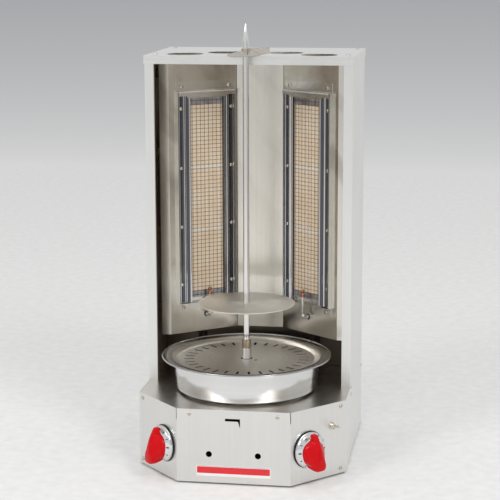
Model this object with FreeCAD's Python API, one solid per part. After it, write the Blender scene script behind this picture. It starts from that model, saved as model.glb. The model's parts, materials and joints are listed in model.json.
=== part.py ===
import FreeCAD, Part
import math
import os

# Countertop vertical rotisserie broiler, millimetres.
# The origin is on the surface it stands on, in the middle of its plan. +Z is up, the front faces -Y.
# A turning spit stands on the deck in front of two infrared gas burners that are set at an angle.

V = FreeCAD.Vector

# ---------------------------------------------------------------- driving dimensions
FOOT_HEIGHT = 4.0            # rubber feet below the casing
TOWER_WIDTH = 432.0          # 17 in
TOWER_DEPTH = 271.0
TOWER_HEIGHT = 844.0         # casing only, without the feet
BASE_HEIGHT = 152.5          # 6 in
TOWER_FRONT_Y = -45.0        # front plane of the tower
SIDE_REACH = 94.0            # how far the base runs on in front of the tower before the chamfer
FRONT_REACH = 201.0          # how far the base's front face stands in front of the tower
FRONT_HALF_WIDTH = 116.0
SHEET = 1.2                  # casing sheet
LINER = 1.0                  # liner sheet behind the food
FRONT_FLANGE = 19.0          # width of the flange beside the tower's mouth
CAP_LIP = 17.5
CAP_OVERHANG = 1.6
VENT_RADIUS = 38.1           # 3 in holes in the cap
SPIT_Y = TOWER_FRONT_Y - 27.0
ROD_RADIUS = 6.35            # 1/2 in rod
DISC_RADIUS = 101.6          # 8 in
PAN_RADIUS = 177.5           # 14 in
PLAQUE_WIDTH, PLAQUE_HEIGHT, PLAQUE_DEPTH = 92.0, 132.0, 13.0
PLAQUE_JOINT = 4.0
RUNNING = 0.05               # radial clearance of running and sliding fits

# ---------------------------------------------------------------- derived positions
HALF = TOWER_WIDTH / 2
FLOOR_Z = FOOT_HEIGHT
DECK_Z = FOOT_HEIGHT + BASE_HEIGHT
TOP_Z = FOOT_HEIGHT + TOWER_HEIGHT
UNDER_CAP_Z = TOP_Z - SHEET
BACK_Y = TOWER_FRONT_Y + TOWER_DEPTH
SIDE_FRONT_Y = TOWER_FRONT_Y - SIDE_REACH
FRONT_Y = TOWER_FRONT_Y - FRONT_REACH
CHAMFER_ANGLE = math.degrees(math.atan2(FRONT_Y - SIDE_FRONT_Y, FRONT_HALF_WIDTH - HALF))

# Liner panel that carries a burner: from its outer bend to its inner bend.
LINER_BOTTOM_Z = FLOOR_Z + 237.0
LINER_TOP_Z = UNDER_CAP_Z - SHEET - 0.3
LINER_OUTER = (180.0, TOWER_FRONT_Y + 66.0)
LINER_INNER = (51.0, TOWER_FRONT_Y + 168.0)
LINER_EDGE_X = 200.0
LINER_TURN = math.atan2(LINER_INNER[1] - LINER_OUTER[1], LINER_OUTER[0] - LINER_INNER[0])

# Burner, in the liner panel's own frame: s runs inward along the panel, n stands out of it.
BURNER_S = 87.0
BURNER_LOW_Z = FLOOR_Z + 329.0
BURNER_HIGH_Z = BURNER_LOW_Z + 3 * PLAQUE_HEIGHT + 2 * PLAQUE_JOINT
PLATE_HALF_WIDTH = 70.0
PLATE_LOW_Z, PLATE_HIGH_Z = FLOOR_Z + 285.0, FLOOR_Z + 783.0
BRACKET_LOW_Z, BRACKET_HIGH_Z = FLOOR_Z + 303.0, FLOOR_Z + 762.0
PLATE = 1.2
BODY_HALF_WIDTH = 48.0
BODY_DEPTH = 48.0
RAIL_OPEN = 39.0             # half the width of ceramic that shows between the rails
PILOT_Z = FLOOR_Z + 274.0
MIXER_N = -30.0
PILOT_RISER_N = -8.0
BAFFLE_Y = LINER_INNER[1] + 4.0

# Controls, in the chamfer's own frame: s runs from the side corner to the front corner, p stands out.
KNOB_S, KNOB_Z = 100.0, FLOOR_Z + 68.0
TOGGLE_S, TOGGLE_Z = 38.0, FLOOR_Z + 105.0
TOGGLE_REST_TILT = 14.0
MANIFOLD_Z = 40.0
PIPE_RADIUS = 10.67          # 1/2 in gas pipe
PIPE_BORE = 7.9
COUPLING_RADIUS = 13.6
PILOT_VALVE_X, PILOT_VALVE_Z = 50.0, FLOOR_Z + 59.4
SUPPLY_X = 95.0
SUPPLY_END_Y = 251.0

# Spit
SOCKET_TOP_Z = FLOOR_Z + 239.0
DISC_Z = FLOOR_Z + 333.0
SPIKE_BASE_Z, SPIKE_TIP_Z = FLOOR_Z + 874.0, FLOOR_Z + 912.0
PAN_BOTTOM_Z = DECK_Z + 4.5
RIM_Z = FLOOR_Z + 225.5
STRAINER_Z = FLOOR_Z + 216.0

parts = {}


# ---------------------------------------------------------------- helpers
def box(x0, x1, y0, y1, z0, z1):
    return Part.makeBox(x1 - x0, y1 - y0, z1 - z0, V(x0, y0, z0))


def cylinder(radius, start, direction, length):
    return Part.makeCylinder(radius, length, V(*start), V(*direction))


def polygon(points, z0, z1):
    """Prism over a closed outline in plan."""
    wire = Part.makePolygon([V(x, y, z0) for x, y in points] + [V(points[0][0], points[0][1], z0)])
    return Part.Face(wire).extrude(V(0, 0, z1 - z0))


def offset_path(points, distance):
    """The same open path moved to its left, with mitred corners."""
    moved = []
    for i, (x, y) in enumerate(points):
        normals = []
        for a, b in ((i - 1, i), (i, i + 1)):
            if a >= 0 and b < len(points):
                dx, dy = points[b][0] - points[a][0], points[b][1] - points[a][1]
                length = math.hypot(dx, dy)
                normals.append((-dy / length, dx / length))
        nx, ny = normals[0]
        if len(normals) == 2:
            mx, my = nx + normals[1][0], ny + normals[1][1]
            scale = 2 / (mx * mx + my * my)
            nx, ny = mx * scale, my * scale
        moved.append((x + nx * distance, y + ny * distance))
    return moved


def bent_sheet(points, thickness, z0, z1):
    """A sheet bent along an open path in plan; its thickness lies to the left of the path."""
    return polygon(list(points) + offset_path(points, thickness)[::-1], z0, z1)


def tube_along(points, radius, bend):
    """A round bar along straight runs joined by tangent arcs."""
    corners = [V(*p) for p in points]
    edges = []
    start = corners[0]
    for before, corner, after in zip(corners, corners[1:], corners[2:]):
        into = (corner - before).normalize()
        out = (after - corner).normalize()
        turn = math.acos(max(-1.0, min(1.0, into.dot(out))))
        reach = bend * math.tan(turn / 2)
        first, last = corner - into * reach, corner + out * reach
        towards = (out - into).normalize()
        middle = corner + towards * (bend / math.cos(turn / 2) - bend)
        edges.append(Part.LineSegment(start, first).toShape())
        edges.append(Part.Arc(first, middle, last).toShape())
        start = last
    edges.append(Part.LineSegment(start, corners[-1]).toShape())
    path = Part.Wire(edges)
    along = (corners[1] - corners[0]).normalize()
    section = Part.Wire(Part.makeCircle(radius, corners[0], along))
    return path.makePipeShell([section], True, False)


def revolve(profile, x=0.0, y=SPIT_Y):
    """Solid of revolution about a vertical axis from a closed (radius, z) outline."""
    points = [V(r, 0, z) for r, z in profile]
    face = Part.Face(Part.makePolygon(points + [points[0]]))
    solid = face.revolve(V(0, 0, 0), V(0, 0, 1), 360)
    solid.translate(V(x, y, 0))
    return solid


def mirrored(shape):
    return shape.mirror(V(0, 0, 0), V(1, 0, 0))


def sided(shape, side):
    return shape if side > 0 else mirrored(shape)


def on_liner(shape):
    """From the liner frame (s, n, z) to the right-hand burner's place."""
    placed = shape.copy()
    placed.rotate(V(0, 0, 0), V(0, 0, 1), 180 - math.degrees(LINER_TURN))
    placed.translate(V(LINER_OUTER[0], LINER_OUTER[1], 0))
    return placed


def liner_point(s, n, z):
    c, k = math.cos(LINER_TURN), math.sin(LINER_TURN)
    return (LINER_OUTER[0] - s * c - n * k, LINER_OUTER[1] + s * k - n * c, z)


def on_chamfer(shape):
    """From the chamfer frame (s, p, z) to the right-hand chamfer's place."""
    placed = shape.copy()
    placed.rotate(V(0, 0, 0), V(0, 0, 1), CHAMFER_ANGLE)
    placed.translate(V(HALF, SIDE_FRONT_Y, 0))
    return placed


def chamfer_point(s, p, z):
    a = math.radians(CHAMFER_ANGLE)
    return (HALF + s * math.cos(a) - p * math.sin(a), SIDE_FRONT_Y + s * math.sin(a) + p * math.cos(a), z)


def screw(place, direction, head_radius=4.4, head=2.4, shank_radius=2.0, shank=6.0):
    """Pan-head screw: place is under the head, direction points out of the surface."""
    d = V(*direction).normalize()
    base = V(*place)
    crown = Part.makeCone(head_radius, head_radius * 0.62, head, base, d)
    return crown.fuse(Part.makeCylinder(shank_radius, shank, base - d * shank, d))


def drilled(shape, places, direction, radius, depth=8.0):
    """Cuts round holes that run depth each way from their places."""
    d = V(*direction).normalize()
    for place in places:
        shape = shape.cut(Part.makeCylinder(radius, 2 * depth, V(*place) - d * depth, d))
    return shape


# ---------------------------------------------------------------- casing
SCREW_HOLE = 2.2
CAP_SCREWS = [(x, y, TOP_Z) for x in (-202.0, 202.0) for y in (TOWER_FRONT_Y + 45, TOWER_FRONT_Y + 253)]
APRON_FRONT_SCREWS = [(x, FRONT_Y, FLOOR_Z + 142.0) for x in (-89.5, 89.5)]
CHAMFER_SCREW_S = 13.5
CHAMFER_SCREW_ZS = (FLOOR_Z + 11.0, FLOOR_Z + 142.5)
SIDE_SCREWS = [(TOWER_FRONT_Y + 19.5, FLOOR_Z + 148.0), (TOWER_FRONT_Y + 19.5, FLOOR_Z + 133.0),
               (TOWER_FRONT_Y + 257.0, FLOOR_Z + 134.0)]
CLIP_ZS = [FLOOR_Z + 800.0 - 170.0 * i for i in range(4)]


def side_panel():
    """Right side: one sheet, tall behind and low in front, with its flanges bent inward."""
    front = SIDE_FRONT_Y + 1.8
    outline = [(front, FLOOR_Z), (BACK_Y, FLOOR_Z), (BACK_Y, UNDER_CAP_Z),
               (TOWER_FRONT_Y, UNDER_CAP_Z), (TOWER_FRONT_Y, DECK_Z), (front, DECK_Z)]
    wire = Part.makePolygon([V(HALF, y, z) for y, z in outline + outline[:1]])
    skin = Part.Face(wire).extrude(V(-SHEET, 0, 0))
    inner = HALF - FRONT_FLANGE
    mouth = bent_sheet([(HALF, TOWER_FRONT_Y), (inner, TOWER_FRONT_Y), (inner, TOWER_FRONT_Y + 8)],
                       -SHEET, DECK_Z, UNDER_CAP_Z)
    rear = box(HALF - 16, HALF, BACK_Y - SHEET, BACK_Y, FLOOR_Z, UNDER_CAP_Z)
    foot = box(HALF - 20, HALF, SIDE_FRONT_Y + 20, BACK_Y, FLOOR_Z, FLOOR_Z + SHEET)
    head = box(HALF - 24, HALF, TOWER_FRONT_Y, BACK_Y, UNDER_CAP_Z - SHEET, UNDER_CAP_Z)
    lap_path = [(HALF, SIDE_FRONT_Y + 20), (HALF, front), chamfer_point(24, -SHEET - 0.03, 0)[:2]]
    lap = bent_sheet(lap_path, -SHEET, FLOOR_Z, DECK_Z - SHEET - 1)
    panel = skin.fuse([mouth, rear, foot, head, lap]).removeSplitter()
    panel = drilled(panel, [(HALF, y, z) for y, z in SIDE_SCREWS], (1, 0, 0), SCREW_HOLE, 6)
    panel = drilled(panel, [p for p in CAP_SCREWS if p[0] > 0], (0, 0, 1), SCREW_HOLE)
    laps = [chamfer_point(CHAMFER_SCREW_S, -SHEET, z) for z in CHAMFER_SCREW_ZS]
    return drilled(panel, laps, chamfer_normal(), SCREW_HOLE, 4)


def chamfer_normal():
    a = math.radians(CHAMFER_ANGLE)
    return (-math.sin(a), math.cos(a), 0)


def control_panel():
    """Apron: front face and both chamfers in one bent sheet, slit at the top of each front corner."""
    path = [(-HALF, SIDE_FRONT_Y), (-FRONT_HALF_WIDTH, FRONT_Y),
            (FRONT_HALF_WIDTH, FRONT_Y), (HALF, SIDE_FRONT_Y)]
    apron = bent_sheet(path, SHEET, FLOOR_Z, DECK_Z)
    foot = box(-FRONT_HALF_WIDTH + 4, FRONT_HALF_WIDTH - 4, FRONT_Y, FRONT_Y + 18, FLOOR_Z, FLOOR_Z + SHEET)
    apron = apron.fuse(foot).removeSplitter()
    slit_low = DECK_Z - 23
    for side in (-1, 1):
        corner = side * FRONT_HALF_WIDTH
        apron = apron.cut(box(corner - 0.6, corner + 0.6, FRONT_Y - 1, FRONT_Y + 3, slit_low, DECK_Z + 1))
        apron = apron.cut(cylinder(6.25, (side * PILOT_VALVE_X, FRONT_Y - 1, PILOT_VALVE_Z), (0, 1, 0), 4))
        stem = sided(cylinder(6.0, chamfer_point(KNOB_S, -4, KNOB_Z), chamfer_normal(), 8), side)
        apron = apron.cut(stem)
    toggle = cylinder(6.1, chamfer_point(TOGGLE_S, -4, TOGGLE_Z), chamfer_normal(), 8)
    apron = apron.cut([toggle, lighting_window()])
    apron = drilled(apron, APRON_FRONT_SCREWS, (0, 1, 0), SCREW_HOLE)
    for z in CHAMFER_SCREW_ZS:
        hole = cylinder(SCREW_HOLE, chamfer_point(CHAMFER_SCREW_S, -4, z), chamfer_normal(), 8)
        apron = apron.cut([hole, mirrored(hole)])
    return apron


WINDOW_HIGH = FLOOR_Z + 135.0


def lighting_window():
    """Slot over and beside the small tab in the middle of the apron, for lighting with a taper."""
    left, right, high = -16.5, 14.0, WINDOW_HIGH
    outline = [(left, high), (right, high), (right, high - 19), (right - 4.5, high - 5.3), (left, high - 5.3)]
    wire = Part.makePolygon([V(x, FRONT_Y - 1, z) for x, z in outline + outline[:1]])
    return Part.Face(wire).extrude(V(0, 4, 0))


def base_outline(gap):
    """Plan of the base inside its walls, drawn in by gap."""
    x, y = HALF - gap, FRONT_Y + gap
    k = gap * 0.42
    return [(-x, SIDE_FRONT_Y + k), (-FRONT_HALF_WIDTH + k, y), (FRONT_HALF_WIDTH - k, y),
            (x, SIDE_FRONT_Y + k), (x, BACK_Y - gap - SHEET), (-x, BACK_Y - gap - SHEET)]


def deck_plate():
    """Top of the base, with a ring that the pan stands on and a turned-down front edge."""
    deck = polygon(base_outline(SHEET + 0.2), DECK_Z - SHEET, DECK_Z)
    lip = box(-108, 108, FRONT_Y + SHEET + 0.2, FRONT_Y + 2 * SHEET + 0.2, DECK_Z - 24, DECK_Z)
    window_gap = box(-21, 19, FRONT_Y, FRONT_Y + 6, DECK_Z - 26, WINDOW_HIGH + 1.5)
    deck = deck.fuse(lip.cut(window_gap))
    ring = revolve([(122, DECK_Z - 0.5), (130, DECK_Z - 0.5), (128, PAN_BOTTOM_Z), (124, PAN_BOTTOM_Z)])
    deck = deck.fuse(ring).removeSplitter()
    deck = deck.cut(cylinder(14.0, (0, SPIT_Y, DECK_Z - 5), (0, 0, 1), 12))
    deck = drilled(deck, APRON_FRONT_SCREWS, (0, 1, 0), SCREW_HOLE)
    for side in (-1, 1):
        for n, radius in ((MIXER_N, 7.0), (PILOT_RISER_N, 4.5)):
            x, y, z = liner_point(BURNER_S, n, DECK_Z - 4)
            deck = deck.cut(cylinder(radius, (side * x, y, z), (0, 0, 1), 8))
        flange_gap = box(HALF - FRONT_FLANGE - 0.6, HALF, TOWER_FRONT_Y - 0.2, TOWER_FRONT_Y + 8.4,
                         DECK_Z - 3, DECK_Z + 3)
        deck = deck.cut(sided(flange_gap, side))
    return deck


def bottom_plate():
    """Floor of the base, with air holes under each burner."""
    low = FLOOR_Z + SHEET + 0.02
    outline = base_outline(2 * SHEET + 0.4)
    plate = polygon(outline, low, low + SHEET)
    for side in (-1, 1):
        for row in range(3):
            for column in range(4):
                place = (side * (70 + 26 * column), 60 + 40 * row, low - 3)
                plate = plate.cut(cylinder(8.0, place, (0, 0, 1), 8))
    return drilled(plate, FOOT_PLACES, (0, 0, 1), 3.2)


FOOT_PLACES = [(x, y, FLOOR_Z) for x, y in ((-96, FRONT_Y + 42), (96, FRONT_Y + 42),
                                            (-170, BACK_Y - 36), (170, BACK_Y - 36))]


def feet():
    solids = []
    for x, y, z in FOOT_PLACES:
        pad = revolve([(0, 0), (13, 0), (14, 1), (15, z + SHEET), (0, z + SHEET)], x, y)
        solids.append(pad.fuse(cylinder(3.0, (x, y, z), (0, 0, 1), 8)).removeSplitter())
    return Part.makeCompound(solids)


def back_panel():
    """Rear sheet, with two rows of air slots and the holes for gas and for the mains lead."""
    panel = box(-HALF, HALF, BACK_Y, BACK_Y + SHEET, FLOOR_Z, UNDER_CAP_Z - 0.3)
    for row_z in (LINER_BOTTOM_Z + 60, UNDER_CAP_Z - 150):
        for i in range(13):
            x = -150 + 25 * i
            slot = box(x - 3, x + 3, BACK_Y - 2, BACK_Y + 4, row_z, row_z + 70)
            panel = panel.cut(slot)
    panel = panel.cut(cylinder(14.0, (SUPPLY_X, BACK_Y - 3, MANIFOLD_Z), (0, 1, 0), 8))
    panel = panel.cut(cylinder(8.2, (-SUPPLY_X, BACK_Y - 3, MANIFOLD_Z + 20), (0, 1, 0), 8))
    return panel


def top_cap():
    """Lid over the tower with four flue holes."""
    x, y0, y1 = HALF + CAP_OVERHANG, TOWER_FRONT_Y - CAP_OVERHANG, BACK_Y + SHEET + CAP_OVERHANG
    cap = box(-x, x, y0, y1, TOP_Z - CAP_LIP, TOP_Z)
    cap = cap.cut(box(-x + SHEET, x - SHEET, y0 + SHEET, y1 - SHEET, TOP_Z - CAP_LIP - 1, UNDER_CAP_Z))
    for vent_x, vent_y in ((140.5, TOWER_FRONT_Y + 54.5), (63.0, TOWER_FRONT_Y + 109.5)):
        for side in (-1, 1):
            cap = cap.cut(cylinder(VENT_RADIUS, (side * vent_x, vent_y, TOP_Z - 4), (0, 0, 1), 8))
    return drilled(cap, CAP_SCREWS, (0, 0, 1), SCREW_HOLE)


def centre_back_panel():
    """Flat liner between the two burner panels; its edges turn back behind them."""
    x, y = LINER_INNER[0] - 0.3, LINER_INNER[1]
    path = [(-x, y + 3), (-x, y), (x, y), (x, y + 3)]
    return bent_sheet(path, LINER, LINER_BOTTOM_Z, LINER_TOP_Z)


def rear_baffle():
    """Upright sheet on the deck below and behind the liners, flanged back along its foot and sides."""
    half = HALF - SHEET - 0.3
    path = [(-half, BAFFLE_Y + 14), (-half, BAFFLE_Y), (half, BAFFLE_Y), (half, BAFFLE_Y + 14)]
    low = DECK_Z + 0.3
    sheet = bent_sheet(path, LINER, low, BURNER_LOW_Z - 25)
    return sheet.fuse(box(-half, half, BAFFLE_Y, BAFFLE_Y + 14, low, low + LINER)).removeSplitter()


def burner_panel():
    """Right-hand liner: a narrow strip facing forward, then the slanted face with the burner's opening."""
    c, k = math.cos(LINER_TURN), math.sin(LINER_TURN)
    inner = (LINER_INNER[0] + 0.4, LINER_INNER[1] - 0.4 * k / c)
    path = [(LINER_EDGE_X, LINER_OUTER[1] + 9), (LINER_EDGE_X, LINER_OUTER[1]), LINER_OUTER, inner]
    panel = bent_sheet(path, -LINER, LINER_BOTTOM_Z, LINER_TOP_Z)
    opening = box(BURNER_S - 51, BURNER_S + 51, -5, 5, BURNER_LOW_Z - 18, BURNER_HIGH_Z + 18)
    pilot = cylinder(6.5, (BURNER_S, -6, PILOT_Z), (0, 1, 0), 12)
    panel = panel.cut([on_liner(opening), on_liner(pilot)])
    corners = [liner_point(BURNER_S + ds, 0, z) for ds, z in MOUNT_SCREWS]
    return drilled(panel, corners, liner_normal(), SCREW_HOLE, 6)


def liner_normal():
    return (-math.sin(LINER_TURN), -math.cos(LINER_TURN), 0)


def panel_clips():
    """Small angle clips that hold each liner panel off the side wall, four a side."""
    solids = []
    wall, strip_y = HALF - SHEET - 0.02, LINER_OUTER[1] + LINER + 9.0
    path = [(wall, strip_y + 42), (wall, strip_y + 24), (wall - 13, strip_y + 4),
            (186, strip_y - 8.9), (184, strip_y - 8.9)]
    for side in (-1, 1):
        for z in CLIP_ZS:
            arm = bent_sheet(path, -1.2, z - 9, z + 9)
            head = Part.makeCone(3.6, 2.4, 2.2, V(wall - 1.2, strip_y + 33, z), V(-1, 0, 0))
            solids.append(sided(arm.fuse(head).removeSplitter(), side))
    return Part.makeCompound(solids)


# ---------------------------------------------------------------- burners
MOUNT_SCREWS = [(ds, z) for ds in (-57.0, 57.0) for z in (FLOOR_Z + 294.0, FLOOR_Z + 772.5)]
RAIL_SCREW_ZS = [FLOOR_Z + 345.0 + 127.0 * i for i in range(4)]
BRACKET_N = 10.6             # how far the end brackets' faces stand out of the liner


def mounting_plate():
    """Plate over the liner's opening that carries the burner; its long edges turn forward."""
    s0, s1 = BURNER_S - PLATE_HALF_WIDTH, BURNER_S + PLATE_HALF_WIDTH
    plate = box(s0, s1, 0.02, PLATE, PLATE_LOW_Z, PLATE_HIGH_Z)
    low, high = BRACKET_LOW_Z, BRACKET_HIGH_Z
    for edge in (s0, s1 - PLATE):
        plate = plate.fuse(box(edge, edge + PLATE, 0.02, 9.0, low, high))
    plate = plate.removeSplitter()
    window = box(BURNER_S - BODY_HALF_WIDTH - 0.4, BURNER_S + BODY_HALF_WIDTH + 0.4, -2, 4,
                 BURNER_LOW_Z - 15.4, BURNER_HIGH_Z + 15.4)
    plate = plate.cut(window)
    for ds, z in MOUNT_SCREWS:
        plate = plate.cut(cylinder(SCREW_HOLE, (BURNER_S + ds, -3, z), (0, 1, 0), 8))
    return on_liner(plate)


def burner_body():
    """Sheet-metal plenum: open in front, with a frame that the plaques sit behind."""
    s0, s1 = BURNER_S - BODY_HALF_WIDTH, BURNER_S + BODY_HALF_WIDTH
    z0, z1 = BURNER_LOW_Z - 15, BURNER_HIGH_Z + 15
    body = box(s0, s1, -BODY_DEPTH, 4.2, z0, z1)
    body = body.cut(box(s0 + SHEET, s1 - SHEET, -BODY_DEPTH + SHEET, 3.0, z0 + SHEET, z1 - SHEET))
    half = RAIL_OPEN + 3
    front = box(BURNER_S - half, BURNER_S + half, 1, 6, BURNER_LOW_Z, BURNER_HIGH_Z)
    inlet = cylinder(14.0, (BURNER_S, MIXER_N, z0 - 2), (0, 0, 1), 5)
    return on_liner(body.cut([front, inlet]))


def ceramic_plaques():
    """Three ceramic plaques, one above the other, behind the plenum's frame."""
    solids = []
    for i in range(3):
        z = BURNER_LOW_Z + i * (PLAQUE_HEIGHT + PLAQUE_JOINT)
        s = BURNER_S - PLAQUE_WIDTH / 2
        solids.append(on_liner(box(s, s + PLAQUE_WIDTH, 3.0 - PLAQUE_DEPTH, 2.98, z, z + PLAQUE_HEIGHT)))
    return Part.makeCompound(solids)


def plaque_gaskets():
    """Strips of white fibre between the plaques."""
    solids = []
    s0, s1 = BURNER_S - PLAQUE_WIDTH / 2, BURNER_S + PLAQUE_WIDTH / 2
    for side in (-1, 1):
        for i in (1, 2):
            low = BURNER_LOW_Z + i * (PLAQUE_HEIGHT + PLAQUE_JOINT) - PLAQUE_JOINT
            strip = box(s0, s1, 4.0 - PLAQUE_DEPTH, 2.6, low + 0.02, low + PLAQUE_JOINT - 0.02)
            solids.append(sided(on_liner(strip), side))
    return Part.makeCompound(solids)


def rails():
    """Polished reflector gutters, one along each long side of the ceramic."""
    low, high = BRACKET_LOW_Z + 3, BRACKET_HIGH_Z - 3
    section = [(0, 4.4), (0.5, 9.7), (3.0, 9.7), (9, 4.6), (12, 7.5), (15, 4.6), (27, 4.6), (28.2, 9.4)]
    solids = []
    for way in (-1, 1):
        path = [(BURNER_S + way * (RAIL_OPEN + d), n) for d, n in section]
        solids.append(on_liner(bent_sheet(path, way * 0.8, low, high)))
    return Part.makeCompound(solids)


def end_brackets():
    """Angles across the ends of the rails; the upper one covers their tops, the lower one carries them."""
    half = PLATE_HALF_WIDTH - PLATE - 0.1
    top, step = BRACKET_HIGH_Z, RAIL_OPEN + 8
    outline = [(-half, top), (half, top), (half, top - 9), (step + 2, top - 9), (step, top - 13),
               (-step, top - 13), (-step - 2, top - 9), (-half, top - 9)]
    wire = Part.makePolygon([V(BURNER_S + s, BRACKET_N, z) for s, z in outline + outline[:1]])
    face = Part.Face(wire).extrude(V(0, PLATE, 0))
    shelf = box(BURNER_S - half, BURNER_S + half, PLATE + 0.02, BRACKET_N + 0.5, top - PLATE, top)
    low = BRACKET_LOW_Z
    ledge = box(BURNER_S - half, BURNER_S + half, PLATE + 0.02, BRACKET_N + PLATE, low, low + PLATE)
    flange = box(BURNER_S - 46, BURNER_S + 46, PLATE + 0.02, 2 * PLATE, low - 14, low + PLATE)
    upper = on_liner(face.fuse(shelf).removeSplitter())
    lower = on_liner(ledge.fuse(flange).removeSplitter())
    return Part.makeCompound([upper, lower])


def wire_mesh():
    """Screen of crossed wires in front of the ceramic."""
    wire, columns, rows = 1.1, 8, 50
    low, high = BURNER_LOW_Z - 13, BURNER_HIGH_Z + 13
    left, right = BURNER_S - RAIL_OPEN + 0.9, BURNER_S + RAIL_OPEN - 0.9
    solids = []
    for i in range(columns):
        s = left + 4 + (right - left - 8) * i / (columns - 1)
        solids.append(box(s - wire / 2, s + wire / 2, 5.0, 6.1, low, high))
    for i in range(rows):
        z = low + 4 + (high - low - 8) * i / (rows - 1)
        solids.append(box(left, right, 6.1, 7.2, z - wire / 2, z + wire / 2))
    return on_liner(Part.makeCompound(solids))


def burner_screws():
    """Rail screws and mounting screws of both burners."""
    solids = []
    normal = liner_normal()
    for side in (-1, 1):
        for ds, z in MOUNT_SCREWS:
            place = liner_point(BURNER_S + ds, PLATE, z)
            solids.append(sided(screw(place, normal, 4.4, 3.4, shank=7), side))
        for z in RAIL_SCREW_ZS:
            for way in (-1, 1):
                place = liner_point(BURNER_S + way * (RAIL_OPEN + 21.5), 5.44, z)
                solids.append(sided(Part.makeCone(3.8, 2.4, 2.2, V(*place), V(*normal)), side))
    return Part.makeCompound(solids)


PILOT_N = 16.4
PILOT_TUBE = 2.6
TIP_LOW_Z, TIP_HIGH_Z = FLOOR_Z + 321.0, FLOOR_Z + 337.0


def pilot_tube():
    """Pilot gas tube: from the pilot valve through the base and the deck, then out of the liner and up."""
    s = BURNER_S
    outside = liner_point(s, PILOT_N, PILOT_Z)
    behind = liner_point(s, PILOT_RISER_N, PILOT_Z)
    route = [(PILOT_VALVE_X, FRONT_Y + 72, PILOT_VALVE_Z), (PILOT_VALVE_X, -125, PILOT_VALVE_Z),
             (behind[0], -60, PILOT_VALVE_Z), (behind[0], behind[1], PILOT_VALVE_Z), behind, outside,
             (outside[0], outside[1], TIP_LOW_Z)]
    tube = tube_along(route, PILOT_TUBE, 8.0)
    nut = cylinder(4.6, liner_point(s, 1.2, PILOT_Z), liner_normal(), 5.0)
    return tube.fuse(nut).removeSplitter()


def pilot_tips():
    """Copper tips on the pilot tubes."""
    x, y = liner_point(BURNER_S, PILOT_N, 0)[:2]
    profile = [(0, TIP_LOW_Z), (4.3, TIP_LOW_Z), (4.3, TIP_HIGH_Z - 4), (3.0, TIP_HIGH_Z), (0, TIP_HIGH_Z)]
    tip = revolve(profile, x, y)
    return Part.makeCompound([mirrored(tip), tip])


MIXER_LOW_Z = BURNER_LOW_Z - 15 - 62


def mixer_tubes():
    """Venturi under each plenum that draws in air around the gas jet."""
    x, y = liner_point(BURNER_S, MIXER_N, 0)[:2]
    top, low = BURNER_LOW_Z - 15 + SHEET + 6, MIXER_LOW_Z
    outer = [(16.0, low), (10.5, low + 26), (13.8, top), (12.6, top), (9.3, low + 26), (14.8, low)]
    venturi = revolve(outer, x, y)
    return Part.makeCompound([mirrored(venturi), venturi])


def gas_tubes():
    """Tube from each valve's outlet to the jet under its venturi."""
    x, y = liner_point(BURNER_S, MIXER_N, 0)[:2]
    start = chamfer_point(KNOB_S, -56.0, KNOB_Z)
    turn = chamfer_point(KNOB_S, -76.0, KNOB_Z)
    jet_low = MIXER_LOW_Z - 26
    tube = tube_along([start, turn, (x, -70.0, KNOB_Z), (x, y, KNOB_Z), (x, y, jet_low + 1)], 4.75, 14.0)
    jet = revolve([(0, jet_low), (7.5, jet_low), (7.5, jet_low + 14), (4, jet_low + 18), (4, jet_low + 24),
                   (0, jet_low + 24)], x, y)
    tube = tube.fuse(jet).removeSplitter()
    return Part.makeCompound([mirrored(tube), tube])


# ---------------------------------------------------------------- gas supply and controls
VALVE_P = -40.0
VALVE_PLACE = chamfer_point(KNOB_S, VALVE_P, KNOB_Z)


def manifold():
    """Capped pipe across the base; a nipple rises to each valve and a branch takes the supply."""
    y = VALVE_PLACE[1]
    end = 136.0
    pipe = cylinder(PIPE_RADIUS, (-end, y, MANIFOLD_Z), (1, 0, 0), 2 * end)
    for side in (-1, 1):
        nipple = KNOB_Z - 13 - MANIFOLD_Z
        pipe = pipe.fuse(cylinder(6.5, (side * VALVE_PLACE[0], y, MANIFOLD_Z), (0, 0, 1), nipple))
        pipe = pipe.fuse(cylinder(13.5, (side * end - 8, y, MANIFOLD_Z), (1, 0, 0), 16))
        riser = PILOT_VALVE_Z - 6.5 - MANIFOLD_Z
        pipe = pipe.fuse(cylinder(4.0, (side * PILOT_VALVE_X, y, MANIFOLD_Z), (0, 0, 1), riser))
    tee = cylinder(14.0, (SUPPLY_X - 16, y, MANIFOLD_Z), (1, 0, 0), 32)
    neck = cylinder(14.0, (SUPPLY_X, y, MANIFOLD_Z), (0, 1, 0), 22)
    return pipe.fuse([tee, neck]).removeSplitter()


def gas_supply_pipe():
    """Pipe from the manifold's branch to a coupling in the rear panel, with a short male end behind it."""
    start = VALVE_PLACE[1] + 22
    pipe = cylinder(PIPE_RADIUS, (SUPPLY_X, start, MANIFOLD_Z), (0, 1, 0), SUPPLY_END_Y - start)
    coupling = cylinder(COUPLING_RADIUS, (SUPPLY_X, BACK_Y - 30, MANIFOLD_Z), (0, 1, 0), 33)
    pipe = pipe.fuse(coupling).removeSplitter()
    return pipe.cut(cylinder(PIPE_BORE, (SUPPLY_X, SUPPLY_END_Y - 60, MANIFOLD_Z), (0, 1, 0), 61))


def gas_valve():
    """Brass valve body behind the chamfer; its stem runs out to the knob."""
    body = box(KNOB_S - 13, KNOB_S + 13, -56, -20, KNOB_Z - 13, KNOB_Z + 13)
    neck = cylinder(9.0, (KNOB_S, -20, KNOB_Z), (0, 1, 0), 16)
    bore = cylinder(4.0 + RUNNING, (KNOB_S, -36, KNOB_Z), (0, 1, 0), 40)
    return on_chamfer(body.fuse(neck).removeSplitter().cut(bore))


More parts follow.
